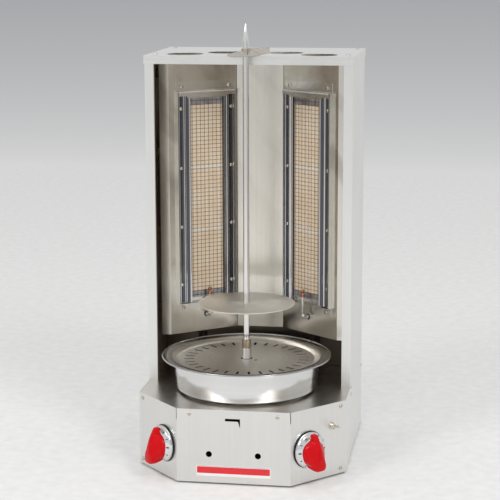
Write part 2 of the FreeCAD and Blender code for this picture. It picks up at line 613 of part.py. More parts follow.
def pilot_valves():
    """Small valves behind the two round holes in the apron, adjusted with a screwdriver."""
    y = VALVE_PLACE[1]
    solids = []
    for side in (-1, 1):
        x = side * PILOT_VALVE_X
        body = cylinder(6.5, (x, y - 16, PILOT_VALVE_Z), (0, 1, 0), FRONT_Y + 72 - y + 16)
        slot = box(x - 5, x + 5, y - 17, y - 14, PILOT_VALVE_Z - 0.8, PILOT_VALVE_Z + 0.8)
        solids.append(body.cut(slot))
    return Part.makeCompound(solids)


SKIRT_LOW, SKIRT_HIGH = 3.4, 15.0
GRIP_HIGH = 41.0             # crown of the grip over its bulb
GRIP_POINT = 24.0            # and at its point


def knob_bezels():
    """Dark ring between each knob and the chamfer."""
    ring = cylinder(38.6, (KNOB_S, 0.0, KNOB_Z), (0, 1, 0), 2.2)
    ring = on_chamfer(ring.cut(cylinder(7.0, (KNOB_S, -1, KNOB_Z), (0, 1, 0), 5)))
    return Part.makeCompound([mirrored(ring), ring])


def valve_stem():
    stem = cylinder(4.0, (KNOB_S, -35, KNOB_Z), (0, 1, 0), 35 + SKIRT_LOW + 8)
    return on_chamfer(stem)


def knob_skirt():
    """Chrome skirt: a low dished drum with a hub that takes the valve stem."""
    drum = Part.makeCone(37.4, 34.6, SKIRT_HIGH - SKIRT_LOW, V(KNOB_S, SKIRT_LOW, KNOB_Z), V(0, 1, 0))
    dish = cylinder(32.0, (KNOB_S, SKIRT_HIGH - 2.2, KNOB_Z), (0, 1, 0), 3.0)
    hollow = cylinder(33.0, (KNOB_S, SKIRT_LOW - 1, KNOB_Z), (0, 1, 0), 8.0)
    hub = cylinder(9.0, (KNOB_S, SKIRT_LOW, KNOB_Z), (0, 1, 0), 8.0)
    bore = cylinder(4.0, (KNOB_S, SKIRT_LOW - 1, KNOB_Z), (0, 1, 0), 9.0)
    return on_chamfer(drum.cut(dish).cut(hollow).fuse(hub).removeSplitter().cut(bore))


def teardrop(p, top, half_width, bottom):
    """Closed wire of a knob grip at height p above the chamfer: a point upward, a round bulb below."""
    low = KNOB_Z - bottom + half_width
    tip_half = 3.5
    points = [V(KNOB_S - tip_half, p, KNOB_Z + top), V(KNOB_S + tip_half, p, KNOB_Z + top)]
    right, left = V(KNOB_S + half_width, p, low), V(KNOB_S - half_width, p, low)
    edges = [Part.LineSegment(points[0], points[1]).toShape(),
             Part.LineSegment(points[1], right).toShape(),
             Part.Arc(right, V(KNOB_S, p, KNOB_Z - bottom), left).toShape(),
             Part.LineSegment(left, points[0]).toShape()]
    return Part.Wire(edges)


def knob_grip():
    """Red teardrop grip, wide at the skirt; its crown slopes down towards the point."""
    low = SKIRT_HIGH - 2.2
    grip = Part.makeLoft([teardrop(low, 36.0, 27.0, 31.0), teardrop(28.0, 35.5, 21.5, 34.0),
                          teardrop(GRIP_HIGH, 35.0, 14.5, 36.5)], True, True)
    drum = cylinder(31.9, (KNOB_S, SKIRT_HIGH - 3, KNOB_Z), (0, 1, 0), 5.0)
    foot = cylinder(50.0, (KNOB_S, SKIRT_HIGH - 3, KNOB_Z), (0, 1, 0), 3.02).cut(drum)
    above = [(KNOB_Z + 40, GRIP_POINT), (KNOB_Z - 20, GRIP_HIGH), (KNOB_Z - 20, 60), (KNOB_Z + 40, 60)]
    wire = Part.makePolygon([V(KNOB_S - 40, p, z) for z, p in above + above[:1]])
    slope = Part.Face(wire).extrude(V(80, 0, 0))
    return on_chamfer(grip.cut([foot, slope]))


TOGGLE_PIN_RADIUS = 0.8


def toggle_switch():
    """Switch body behind the chamfer, with its threaded bush and nut outside."""
    body = box(TOGGLE_S - 8, TOGGLE_S + 8, -26, -SHEET - 0.02, TOGGLE_Z - 14, TOGGLE_Z + 14)
    bush = cylinder(5.9, (TOGGLE_S, -2, TOGGLE_Z), (0, 1, 0), 10.0)
    turns = [math.radians(60 * i) for i in range(7)]
    hexagon = [V(TOGGLE_S + 8.6 * math.cos(a), 0.02, TOGGLE_Z + 8.6 * math.sin(a)) for a in turns]
    nut = Part.Face(Part.makePolygon(hexagon)).extrude(V(0, 2.6, 0))
    well = cylinder(4.1, (TOGGLE_S, 2.8, TOGGLE_Z), (0, 1, 0), 8)
    pin = cylinder(TOGGLE_PIN_RADIUS, (TOGGLE_S - 5.0, 7.0, TOGGLE_Z), (1, 0, 0), 10.0)
    return on_chamfer(body.fuse([bush, nut]).removeSplitter().cut(well).fuse(pin))


def toggle_lever():
    """Bat lever with its ball, tilted up."""
    ball = Part.makeSphere(3.9, V(TOGGLE_S, 7.0, TOGGLE_Z))
    bat = Part.makeCone(1.8, 2.9, 17.0, V(TOGGLE_S, 9.0, TOGGLE_Z), V(0, 1, 0))
    end = Part.makeSphere(2.9, V(TOGGLE_S, 26.0, TOGGLE_Z))
    bore = cylinder(TOGGLE_PIN_RADIUS + RUNNING, (TOGGLE_S - 5, 7.0, TOGGLE_Z), (1, 0, 0), 10)
    lever = ball.fuse([bat, end]).removeSplitter().cut(bore)
    lever.rotate(V(TOGGLE_S, 7.0, TOGGLE_Z), V(1, 0, 0), TOGGLE_REST_TILT)
    return on_chamfer(lever)


def cord_inlet():
    """Junction box inside the back panel and the gland that the mains lead would come out of."""
    x, z = -SUPPLY_X, MANIFOLD_Z + 20
    case = box(x - 32, x + 32, BACK_Y - 46, BACK_Y - 0.02, z - 24, z + 24)
    gland = cylinder(8.0, (x, BACK_Y - 2, z), (0, 1, 0), 14)
    nut = cylinder(11.0, (x, BACK_Y + SHEET + 0.02, z), (0, 1, 0), 6)
    return case.fuse([gland, nut]).removeSplitter().cut(cylinder(4.2, (x, BACK_Y - 8, z), (0, 1, 0), 30))


def nameplate():
    """Plain badge plate with rounded corners."""
    plate = box(-76, 76, FRONT_Y - 0.8, FRONT_Y - 0.02, FLOOR_Z + 13.5, FLOOR_Z + 35.5)
    upright = [e for e in plate.Edges if abs(e.Length - 0.78) < 0.01]
    return plate.makeFillet(1.5, upright)


def casing_screws():
    """Screws of the cap, the apron and the side panels."""
    solids = [screw(p, (0, 0, 1), 4.6, 2.6) for p in CAP_SCREWS]
    solids += [screw(p, (0, -1, 0), 4.2, 2.0, shank=5) for p in APRON_FRONT_SCREWS]
    for side in (-1, 1):
        for z in CHAMFER_SCREW_ZS:
            place = chamfer_point(CHAMFER_SCREW_S, 0, z)
            solids.append(sided(screw(place, chamfer_normal(), 4.2, 2.0, shank=5), side))
        for y, z in SIDE_SCREWS:
            solids.append(sided(screw((HALF, y, z), (1, 0, 0), 4.0, 1.5, shank=4), side))
    return Part.makeCompound(solids)


# ---------------------------------------------------------------- drive, spit and pan
SHAFT_RADIUS = 7.0
SQUARE_HALF = 4.8
SHAFT_TOP_Z = FLOOR_Z + 210.0
SQUARE_LOW_Z = SHAFT_TOP_Z - 16.0
BEARING_BORE = SHAFT_RADIUS + RUNNING
GEARBOX_TOP_Z = DECK_Z - SHEET - 14.0


def gearmotor():
    """Sealed gearmotor: gearbox on four posts under the deck, motor beside it."""
    low = GEARBOX_TOP_Z - 42
    case = box(-34, 46, SPIT_Y - 34, SPIT_Y + 34, low, GEARBOX_TOP_Z)
    stack = box(-112, -34, SPIT_Y - 30, SPIT_Y + 30, low - 6, low + 40)
    coil = cylinder(20.0, (-73, SPIT_Y - 44, low + 17), (0, 1, 0), 88)
    posts = [cylinder(4.0, (x, SPIT_Y + dy, GEARBOX_TOP_Z), (0, 0, 1), 14 - 0.02)
             for x in (-28, 40) for dy in (-28, 28)]
    motor = case.fuse([stack, coil] + posts).removeSplitter()
    return motor.cut(cylinder(SHAFT_RADIUS + 1.0, (0, SPIT_Y, GEARBOX_TOP_Z - 20), (0, 0, 1), 22))


def deck_bearing():
    """Flanged bush in the deck that guides the drive shaft."""
    low = DECK_Z - 9
    profile = [(BEARING_BORE, low), (13.9, low), (13.9, DECK_Z + 0.02), (19.0, DECK_Z + 0.02),
               (19.0, DECK_Z + 3), (BEARING_BORE, DECK_Z + 3)]
    return revolve(profile)


def drive_shaft():
    """Vertical shaft from the gearbox to just under the strainer, with a square end for the socket."""
    low = GEARBOX_TOP_Z - 18
    shaft = cylinder(SHAFT_RADIUS, (0, SPIT_Y, low), (0, 0, 1), SQUARE_LOW_Z - low)
    half = SQUARE_HALF
    square = box(-half, half, SPIT_Y - half, SPIT_Y + half, SQUARE_LOW_Z, SHAFT_TOP_Z)
    return shaft.fuse(square).removeSplitter()


def spit_socket():
    """Socket that drops on the square end and takes the foot of the spit."""
    radius, low = 10.5, SQUARE_LOW_Z + 0.02
    socket = revolve([(0, low), (radius, low), (radius, SOCKET_TOP_Z - 1.5),
                      (radius - 1.5, SOCKET_TOP_Z), (0, SOCKET_TOP_Z)])
    half = SQUARE_HALF + RUNNING
    socket = socket.cut(box(-half, half, SPIT_Y - half, SPIT_Y + half, low - 1, SHAFT_TOP_Z + 0.5))
    return socket.cut(cylinder(ROD_RADIUS + RUNNING, (0, SPIT_Y, SOCKET_TOP_Z - 22), (0, 0, 1), 30))


def skewer_rod():
    """The spit: a plain rod with a sharp top."""
    low = SOCKET_TOP_Z - 21.5
    return revolve([(0, low), (ROD_RADIUS - 1, low), (ROD_RADIUS, low + 1), (ROD_RADIUS, SPIKE_BASE_Z),
                    (1.4, SPIKE_TIP_Z - 1), (0.6, SPIKE_TIP_Z), (0, SPIKE_TIP_Z)])


def skewer_collars():
    """Foot collar that stands on the socket, and the stop under the meat disc."""
    solids = []
    for low, high, radius in ((SOCKET_TOP_Z + 0.02, SOCKET_TOP_Z + 17, 9.5), (DISC_Z - 12, DISC_Z, 10.0)):
        solids.append(revolve([(ROD_RADIUS, low), (radius - 0.8, low), (radius, low + 0.8),
                               (radius, high - 0.8), (radius - 0.8, high), (ROD_RADIUS, high)]))
    return Part.makeCompound(solids)


def meat_disc():
    """Flat disc that the meat stands on; it slides on the rod."""
    bore = ROD_RADIUS + 0.1
    low, high = DISC_Z + 0.02, DISC_Z + 2.0
    return revolve([(bore, low), (DISC_RADIUS - 0.6, low), (DISC_RADIUS, low + 0.6),
                    (DISC_RADIUS, high - 0.6), (DISC_RADIUS - 0.6, high), (bore, high)])


HOLDER_TURN = 24.0
HOLDER_FOLD = 33.0


def top_meat_holder():
    """Folded bar that drops over the spike and holds the top of the meat; its right wing is the high one."""
    sheet, low, high = 1.6, -1.5, 18.5
    outline = [(-36, low), (12, low), (30, 1.5), (50, 6.0), (50, high), (8, high), (-8, 11.0), (-36, 3.6)]
    leaves = []
    for way in (-1, 1):
        wire = Part.makePolygon([V(u, 0, w) for u, w in outline + outline[:1]])
        leaf = Part.Face(wire).extrude(V(0, -way * sheet, 0))
        leaf.rotate(V(0, 0, high), V(1, 0, 0), way * HOLDER_FOLD)
        leaves.append(leaf)
    hub = Part.makeCylinder(ROD_RADIUS + 2.6, 15, V(0, 0, 2))
    bar = leaves[0].fuse([leaves[1], hub]).removeSplitter()
    bar.rotate(V(0, 0, 0), V(0, 0, 1), HOLDER_TURN)
    bar.translate(V(0, SPIT_Y, TOP_Z))
    return bar.cut(cylinder(ROD_RADIUS + 0.1, (0, SPIT_Y, TOP_Z - 40), (0, 0, 1), 120))


WALL_TOP_Z = RIM_Z - 6.5
PAN_WALL_TOP, PAN_WALL_LOW = 153.0, 147.5
PAN_SHEET = 1.6
PAN_TUBE_RADIUS = 16.0


def drip_pan():
    """Spun aluminium pan with a flared rim and a hole in its floor for the tube."""
    low = PAN_BOTTOM_Z + 0.02
    t = PAN_SHEET
    outer = [(PAN_TUBE_RADIUS + 0.02, low), (PAN_WALL_LOW - 7, low), (PAN_WALL_LOW - 2, low + 2),
             (PAN_WALL_LOW, low + 7), (PAN_WALL_TOP, WALL_TOP_Z), (PAN_RADIUS - 1.5, RIM_Z - 1.8),
             (PAN_RADIUS, RIM_Z - 0.4), (PAN_RADIUS - 0.8, RIM_Z + 0.6), (PAN_RADIUS - 3.0, RIM_Z)]
    inner = [(PAN_WALL_TOP - t, WALL_TOP_Z + t), (PAN_WALL_LOW - t, low + 7), (PAN_WALL_LOW - 3.2, low + 3.4),
             (PAN_WALL_LOW - 7, low + t), (PAN_TUBE_RADIUS + 0.02, low + t)]
    return revolve(outer + inner)


def pan_tube():
    """Tube welded into the pan's floor, which keeps the fat away from the drive."""
    outer, inner = PAN_TUBE_RADIUS, PAN_TUBE_RADIUS - PAN_SHEET
    low, high = PAN_BOTTOM_Z + 0.02, STRAINER_Z - 14
    foot = low + PAN_SHEET + 0.02
    return revolve([(inner, low), (outer, low), (outer, foot), (outer + 4, foot),
                    (outer + 4, foot + PAN_SHEET), (outer, foot + PAN_SHEET), (outer, high), (inner, high)])


def rim_surface(radius):
    """Height of the pan's rim, on its upper side, at a radius."""
    inner, outer = PAN_WALL_TOP - PAN_SHEET, PAN_RADIUS - 3.0
    return WALL_TOP_Z + PAN_SHEET + (RIM_Z - WALL_TOP_Z - PAN_SHEET) * (radius - inner) / (outer - inner)


STRAINER_SLOTS = 32


def strainer_plate():
    """Perforated plate that rests on the pan's rim: radial slots and a hole for the socket."""
    hole, flat, t = 12.5, STRAINER_Z, 1.2
    edge, shoulder = PAN_WALL_TOP + 4, PAN_WALL_TOP - PAN_SHEET - 0.4
    profile = [(hole, flat - t), (143.0, flat - t), (shoulder, rim_surface(shoulder) + 0.15),
               (edge, rim_surface(edge) + 0.05), (edge - 0.3, rim_surface(edge) + t),
               (shoulder - 0.6, rim_surface(shoulder) + 0.1 + t), (142.4, flat), (hole, flat)]
    plate = revolve(profile)
    slots = []
    for i in range(STRAINER_SLOTS):
        slot = box(110, 131, -2.3, 2.3, flat - 4, flat + 4)
        slot.rotate(V(0, 0, 0), V(0, 0, 1), 360 / STRAINER_SLOTS * i)
        slot.translate(V(0, SPIT_Y, 0))
        slots.append(slot)
    return plate.cut(Part.makeCompound(slots)).cut(cylinder(3.5, (22, SPIT_Y - 14, flat - 4), (0, 0, 1), 10))


# ---------------------------------------------------------------- assembly
def pair(name, shape):
    parts["left_" + name] = mirrored(shape)
    parts["right_" + name] = shape


pair("side_panel", side_panel())
pair("burner_panel", burner_panel())
pair("mounting_plate", mounting_plate())
pair("burner_body", burner_body())
pair("ceramic_plaques", ceramic_plaques())
pair("rails", rails())
pair("end_brackets", end_brackets())
pair("wire_mesh", wire_mesh())
pair("pilot_tube", pilot_tube())
pair("gas_valve", gas_valve())
pair("valve_stem", valve_stem())
pair("knob_skirt", knob_skirt())
pair("knob_grip", knob_grip())
for build in (control_panel, deck_plate, bottom_plate, feet, back_panel, rear_baffle, top_cap,
              centre_back_panel, panel_clips, plaque_gaskets, mixer_tubes, gas_tubes, burner_screws,
              pilot_tips, manifold, gas_supply_pipe, pilot_valves, knob_bezels, toggle_switch,
              toggle_lever, cord_inlet, nameplate, casing_screws, gearmotor, deck_bearing, drive_shaft,
              spit_socket, skewer_rod, skewer_collars, meat_disc, top_meat_holder, drip_pan, pan_tube,
              strainer_plate):
    parts[build.__name__] = build()

os.makedirs("parts", exist_ok=True)
whole = FreeCAD.BoundBox()
for name, shape in parts.items():
    whole.add(shape.BoundBox)
    print(name, len(shape.Solids), "valid" if shape.isValid() else "INVALID", round(shape.Volume))
    shape.exportStep("parts/" + name + ".step")
print(len(parts), "parts in", whole)
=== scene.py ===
import json
import math

import bmesh
import bpy
from mathutils import Matrix, Vector


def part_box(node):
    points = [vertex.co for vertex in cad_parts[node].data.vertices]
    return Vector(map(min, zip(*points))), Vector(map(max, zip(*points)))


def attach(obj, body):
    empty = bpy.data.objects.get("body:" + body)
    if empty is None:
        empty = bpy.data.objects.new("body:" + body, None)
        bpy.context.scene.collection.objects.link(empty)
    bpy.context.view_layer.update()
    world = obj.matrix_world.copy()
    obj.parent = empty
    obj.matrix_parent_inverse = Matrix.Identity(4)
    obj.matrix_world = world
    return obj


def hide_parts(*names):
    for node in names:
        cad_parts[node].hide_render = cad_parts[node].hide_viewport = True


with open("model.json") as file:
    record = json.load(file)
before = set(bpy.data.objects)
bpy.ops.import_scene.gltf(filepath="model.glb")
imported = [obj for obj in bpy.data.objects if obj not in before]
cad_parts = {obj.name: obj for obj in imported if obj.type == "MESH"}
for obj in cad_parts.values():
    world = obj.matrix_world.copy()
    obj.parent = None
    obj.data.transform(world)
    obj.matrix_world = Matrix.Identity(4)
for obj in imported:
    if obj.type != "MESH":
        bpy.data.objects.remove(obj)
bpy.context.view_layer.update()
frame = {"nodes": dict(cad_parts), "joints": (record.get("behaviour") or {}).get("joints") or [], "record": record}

# Vertical rotisserie broiler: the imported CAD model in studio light, with finer pieces in place of plain ones.
# Metres, in the model's own frame: +Z up, the front faces -Y.

MM = 0.001
UP = Vector((0, 0, 1))
SHARP = math.radians(34)  # edges that turn by more than this stay sharp
FINE = 0.0002  # depth of brushing, rings and grit, in metres
nodes = frame["nodes"]
joints = {joint["name"]: joint for joint in frame["joints"]}
slot_of = {entry["node"]: entry["material_slot"] for entry in frame["record"]["subparts"]}
SPIT = joints["spit_spin"]["pos_m"]
KNOB_OUT = Vector(joints["right_knob_turn"]["axis"]).normalized()


# ---------------------------------------------------------------- places taken from the frame
def facing(node):
    """Unit normal of the largest upright face of a node that looks forward."""
    upright = (face for face in nodes[node].data.polygons
               if face.normal.y < -0.1 and abs(face.normal.z) < 0.01)
    return max(upright, key=lambda face: face.area).normal.normalized()


def standing(origin, outward):
    """Frame on an upright surface: x to the viewer's right, y up, z out of the surface."""
    out = Vector(outward).normalized()
    right = UP.cross(out)
    matrix = Matrix((right, UP, out)).transposed().to_4x4()
    matrix.translation = origin
    return matrix


# ---------------------------------------------------------------- materials
def linear(red, green, blue):
    """Linear colour from display values of 0 to 255."""
    values = []
    for value in (red, green, blue):
        part = value / 255
        values.append(part / 12.92 if part <= 0.04045 else ((part + 0.055) / 1.055) ** 2.4)
    return (*values, 1.0)


class Graph:
    """A material's nodes, built from short calls."""

    def __init__(self, name):
        self.material = bpy.data.materials.new(name)
        self.material.use_nodes = True
        self.tree = self.material.node_tree
        self.tree.nodes.clear()
        output = self.tree.nodes.new("ShaderNodeOutputMaterial")
        self.shader = self.add("BsdfPrincipled", {})
        self.tree.links.new(self.shader.outputs[0], output.inputs[0])
        self.place = self.add("TexCoord", {}).outputs["Object"]

    @classmethod
    def on(cls, material):
        """Graph that goes on with a material that is already made."""
        graph = cls.__new__(cls)
        graph.material = material
        graph.tree = material.node_tree
        graph.shader = next(node for node in graph.tree.nodes if node.type == "BSDF_PRINCIPLED")
        graph.place = graph.add("TexCoord", {}).outputs["Object"]
        return graph

    def add(self, kind, inputs, **settings):
        node = self.tree.nodes.new("ShaderNode" + kind)
        for key, value in settings.items():
            setattr(node, key, value)
        for key, value in inputs.items():
            self.put(node, key, value)
        return node

    def put(self, node, key, value):
        socket = node.inputs[key]
        if isinstance(value, bpy.types.NodeSocket):
            self.tree.links.new(value, socket)
        else:
            socket.default_value = value

    def set(self, **values):
        for key, value in values.items():
            self.put(self.shader, key.replace("_", " "), value)

    def feed(self, key):
        """What an input of the shader gets now: the socket linked to it, or else its value."""
        socket = self.shader.inputs[key]
        return socket.links[0].from_socket if socket.links else socket.default_value

    def along(self, axis):
        """Where a point of the surface is along axis 0, 1 or 2, in metres."""
        return self.add("SeparateXYZ", {"Vector": self.place}).outputs[axis]

    def noise(self, scale, stretch=(1, 1, 1), detail=3.0, vector=None):
        mapped = self.add("Mapping", {"Vector": vector or self.place, "Scale": stretch})
        return self.add("TexNoise", {"Vector": mapped.outputs[0], "Scale": scale, "Detail": detail,
                                     "Roughness": 0.55}).outputs["Fac"]

    def span(self, value, low, high, start=0.3, end=0.7):
        """Value between start and end moved to between low and high."""
        return self.add("MapRange", {"Value": value, "From Min": start, "From Max": end, "To Min": low,
                                     "To Max": high}).outputs[0]

    def blend(self, factor, first, second):
        node = self.tree.nodes.new("ShaderNodeMix")
        node.data_type = "RGBA"
        self.put(node, 0, factor)
        self.put(node, 6, first)
        self.put(node, 7, second)
        return node.outputs[2]

    def math(self, operation, first, second=0.0):
        node = self.tree.nodes.new("ShaderNodeMath")
        node.operation = operation
        self.put(node, 0, first)
        self.put(node, 1, second)
        return node.outputs[0]

    def bump(self, height, strength, distance):
        bumped = self.add("Bump", {"Height": height, "Strength": strength, "Distance": distance})
        self.put(self.shader, "Normal", bumped.outputs[0])

    def toned(self, tone, color):
        """Colour that goes darker and lighter with a tone that runs about zero."""
        return self.blend(self.math("ADD", tone, 0.5), shade(color, 0.62), shade(color, 1.38))

    def turned(self, anisotropy):
        """Highlights stretched round the z axis."""
        tangent = self.add("Tangent", {}, direction_type="RADIAL", axis="Z")
        self.set(Anisotropic=anisotropy, Tangent=tangent.outputs[0])


def shade(color, factor):
    return tuple(min(1.0, part * factor) for part in color[:3]) + (1.0,)


# Noise scales that draw a grain or a streak out along one axis.
GRAINS = {"z": (2600, 2600, 26), "x": (26, 2600, 2600)}
STREAKS = {"z": (150, 150, 2.2), "x": (2.2, 150, 150)}


def brushed(name, color, grain="z", roughness=0.3, streaks=0.03, smudge=0.04, anisotropy=0.45):
    """Brushed stainless sheet: fine grain along one axis, faint long streaks and soft smudges.
    Only a grain along z stretches the highlights."""
    g = Graph(name)
    fine = g.noise(1.0, GRAINS[grain], 2.0)
    streak = g.noise(1.0, STREAKS[grain], 3.0)
    cloud = g.noise(5.0, detail=4.0)
    tone = g.math("ADD", g.span(streak, -streaks, streaks), g.span(cloud, -smudge, smudge))
    tone = g.math("ADD", tone, g.span(fine, -0.02, 0.02))
    rough = g.math("ADD", g.span(fine, -0.05, 0.05), g.span(cloud, roughness - 0.04, roughness + 0.05))
    g.set(Base_Color=g.toned(tone, color), Metallic=1.0, Roughness=rough)
    if grain == "z":
        g.turned(anisotropy)
    g.bump(fine, 0.03, FINE)
    return g.material


def spun(name, color, roughness):
    """Metal turned on a lathe: fine rings about the spit's axis."""
    g = Graph(name)
    moved = g.add("Mapping", {"Vector": g.place, "Location": (-SPIT[0], -SPIT[1], 0.0)})
    parts = g.add("SeparateXYZ", {"Vector": moved.outputs[0]}).outputs
    radius = g.math("SQRT", g.math("ADD", g.math("POWER", parts[0], 2.0), g.math("POWER", parts[1], 2.0)))
    joined = g.add("CombineXYZ", {"X": radius, "Y": parts[2]}).outputs[0]
    rings = g.noise(1400.0, detail=2.0, vector=joined)
    broad = g.noise(130.0, vector=joined)
    cloud = g.noise(9.0, detail=5.0)
    tone = g.math("ADD", g.span(rings, -0.07, 0.07), g.span(broad, -0.06, 0.06))
    tone = g.math("ADD", tone, g.span(cloud, -0.05, 0.05))
    rough = g.math("ADD", g.span(rings, -0.03, 0.05), g.span(cloud, roughness - 0.03, roughness + 0.05))
    g.set(Base_Color=g.toned(tone, color), Metallic=1.0, Roughness=rough)
    g.turned(0.6)
    g.bump(rings, 0.06, FINE)
    return g.material


def polished(name, color, roughness=0.06):
    """Polished or plated metal with faint wipe marks."""
    g = Graph(name)
    cloud = g.noise(24.0, detail=5.0)
    wipes = g.noise(1.0, (900, 60, 400), 2.0)
    rough = g.math("ADD", g.span(cloud, roughness - 0.02, roughness + 0.05), g.span(wipes, 0.0, 0.03))
    g.set(Base_Color=g.blend(cloud, shade(color, 0.86), shade(color, 1.08)), Metallic=1.0, Roughness=rough)
    g.bump(wipes, 0.02, 0.0001)
    return g.material


def rough_metal(name, color, roughness=0.45, metallic=1.0, grit=0.25, stain=None):
    """Cast, drawn or heat-stained metal."""
    g = Graph(name)
    cloud = g.noise(60.0, detail=6.0)
    grains = g.noise(1800.0, detail=3.0)
    tone = g.blend(g.span(cloud, 0.0, 1.0), shade(color, 0.7), shade(color, 1.2))
    if stain:
        patches = g.noise(140.0, (1, 1, 0.5), 4.0)
        tone = g.blend(g.span(patches, 0.0, 0.8, 0.45, 0.65), tone, stain)
    g.set(Base_Color=tone, Metallic=metallic, Roughness=g.span(cloud, roughness - 0.08, roughness + 0.1))
    g.bump(grains, grit, FINE)
    return g.material


def moulded(name, color, roughness=0.2, coat=0.4, grit=0.04, shine=0.5):
    """Moulded plastic, rubber or enamel with a faint orange-peel surface."""
    g = Graph(name)
    cloud = g.noise(40.0, detail=4.0)
    peel = g.noise(700.0, detail=2.0)
    dust = g.noise(2600.0, detail=2.0)
    tone = g.blend(cloud, shade(color, 0.88), shade(color, 1.1))
    g.set(Base_Color=tone, Roughness=g.math("ADD", g.span(cloud, roughness - 0.03, roughness + 0.05),
                                            g.span(dust, 0.0, 0.04)))
    g.set(Coat_Weight=coat, Coat_Roughness=0.08, Specular_IOR_Level=shine)
    g.bump(peel, grit, 0.0003)
    return g.material


SWEEP_START = 4.2  # where the backdrop leaves the floor, along y


def backdrop_paint(name, near, far):
    """Paper sweep whose tone falls off from the floor's to a mid grey."""
    g = Graph(name)
    tone = g.blend(g.span(g.along(1), 0.0, 1.0, SWEEP_START, 7.0), near, far)
    g.set(Base_Color=tone, Roughness=0.8, Specular_IOR_Level=0.2)
    g.bump(g.noise(60.0, detail=4.0), 0.02, 0.0005)
    return g.material


def casing(name, outer, inner):
    """Brushed casing sheet; the faces turned to the inside of the casing are dull and painted a darker brown as
    shade.
    """
    material = brushed(name, outer, roughness=0.35)
    g = Graph.on(material)
    normal = g.add("SeparateXYZ", {"Vector": g.add("NewGeometry", {}).outputs["Normal"]}).outputs[0]
    inside = g.span(g.math("MULTIPLY", normal, g.along(0)), 1.0, 0.0, -0.15, -0.06)
    # painted shade: inward faces are blended to the inner brown
    g.set(Base_Color=g.blend(inside, g.feed("Base Color"), inner))
    for key, value in (("Roughness", 0.6), ("Metallic", 0.45)):
        change = g.add("MapRange", {"Value": inside, "To Min": g.feed(key), "To Max": value})
        g.put(g.shader, key, change.outputs[0])
    return material


def liner_with_painted_reflections(name, color):
    """Brushed liner sheet with soft dark bands of painted reflection that lean across it and fade out downwards.
    """
    material = brushed(name, color, roughness=0.21, streaks=0.04)
    g = Graph.on(material)
    leaning = g.add("Mapping", {"Vector": g.place, "Rotation": (0.0, 0.62, 0.0)})
    bands = g.noise(1.0, (17.0, 5.0, 3.4), 2.0, vector=leaning.outputs[0])
    upward = g.span(g.along(2), 0.25, 1.0, 0.42, 0.8)
    outward = g.span(g.math("ABSOLUTE", g.along(0)), 0.3, 1.0, 0.05, 0.09)
    amount = g.math("MULTIPLY", g.math("MULTIPLY", g.span(bands, 0.0, 0.55, 0.5, 0.66), upward), outward)
    # painted reflection: the bands darken the liner's colour towards a dark brown
    g.set(Base_Color=g.blend(amount, g.feed("Base Color"), linear(96, 86, 76)))
    return material


def darkened_by_painted_shade(material, start, end, color, most=1.0):
    """The same material, duller and darker from height start on to height end: painted shade."""
    g = Graph.on(material)
    # painted shade: the colour turns towards a dark tone across the given heights
    amount = g.span(g.along(2), 0.0, most, start, end)
    shade_tone = g.blend(g.noise(90.0, detail=4.0), shade(color, 0.6), shade(color, 1.3))
    g.set(Base_Color=g.blend(amount, g.feed("Base Color"), shade_tone))
    return material


def edges_with_painted_shade(material, color):
    """The same sheet with its upright cut edges, in the slots and holes, painted dark as shade."""
    g = Graph.on(material)
    normal = g.add("SeparateXYZ", {"Vector": g.add("NewGeometry", {}).outputs["True Normal"]}).outputs[2]
    edge = g.span(g.math("ABSOLUTE", normal), 1.0, 0.0, 0.3, 0.6)
    # painted shade on the upright cut edges
    g.set(Base_Color=g.blend(edge, g.feed("Base Color"), color), Metallic=g.span(edge, 1.0, 0.0, 0.0, 1.0))
    return material


def ceramic(name, turn):
    """Fired infrared plaque: warm porous clay with rows of burner ports; turn lays the rows along a panel."""
    g = Graph(name)
    cloud = g.noise(22.0, detail=5.0)
    grains = g.noise(900.0, detail=3.0)
    base = g.blend(g.span(cloud, 0.0, 1.0), linear(250, 226, 196), linear(255, 240, 216))
    pitch = 1.9 * MM
    rows = g.add("Mapping", {"Vector": g.place, "Rotation": (0.0, 0.0, turn),
                             "Scale": (1 / pitch, 0.0, 1 / pitch)})
    cells = g.add("TexVoronoi", {"Vector": rows.outputs[0], "Scale": 1.0, "Randomness": 0.0})
    port = g.span(cells.outputs["Distance"], 1.0, 0.0, 0.22, 0.34)
    clay = g.blend(g.span(grains, 0.0, 0.3, 0.56, 0.7), base, linear(176, 142, 108))
    # painted shade in the burner ports: they darken towards a deep brown
    g.set(Base_Color=g.blend(g.math("MULTIPLY", port, 0.4), clay, linear(120, 86, 60)), Roughness=0.92)
    g.bump(g.math("SUBTRACT", g.math("MULTIPLY", grains, 0.2), port), 0.6, 0.0006)
    return g.material


def fibre(name, color):
    """White ceramic-fibre strip."""
    g = Graph(name)
    hairs = g.noise(1.0, (500, 500, 2600), 4.0)
    g.set(Base_Color=g.blend(hairs, shade(color, 0.86), shade(color, 1.06)), Roughness=0.95, Sheen_Weight=0.2)
    g.bump(hairs, 0.4, 0.0004)
    return g.material


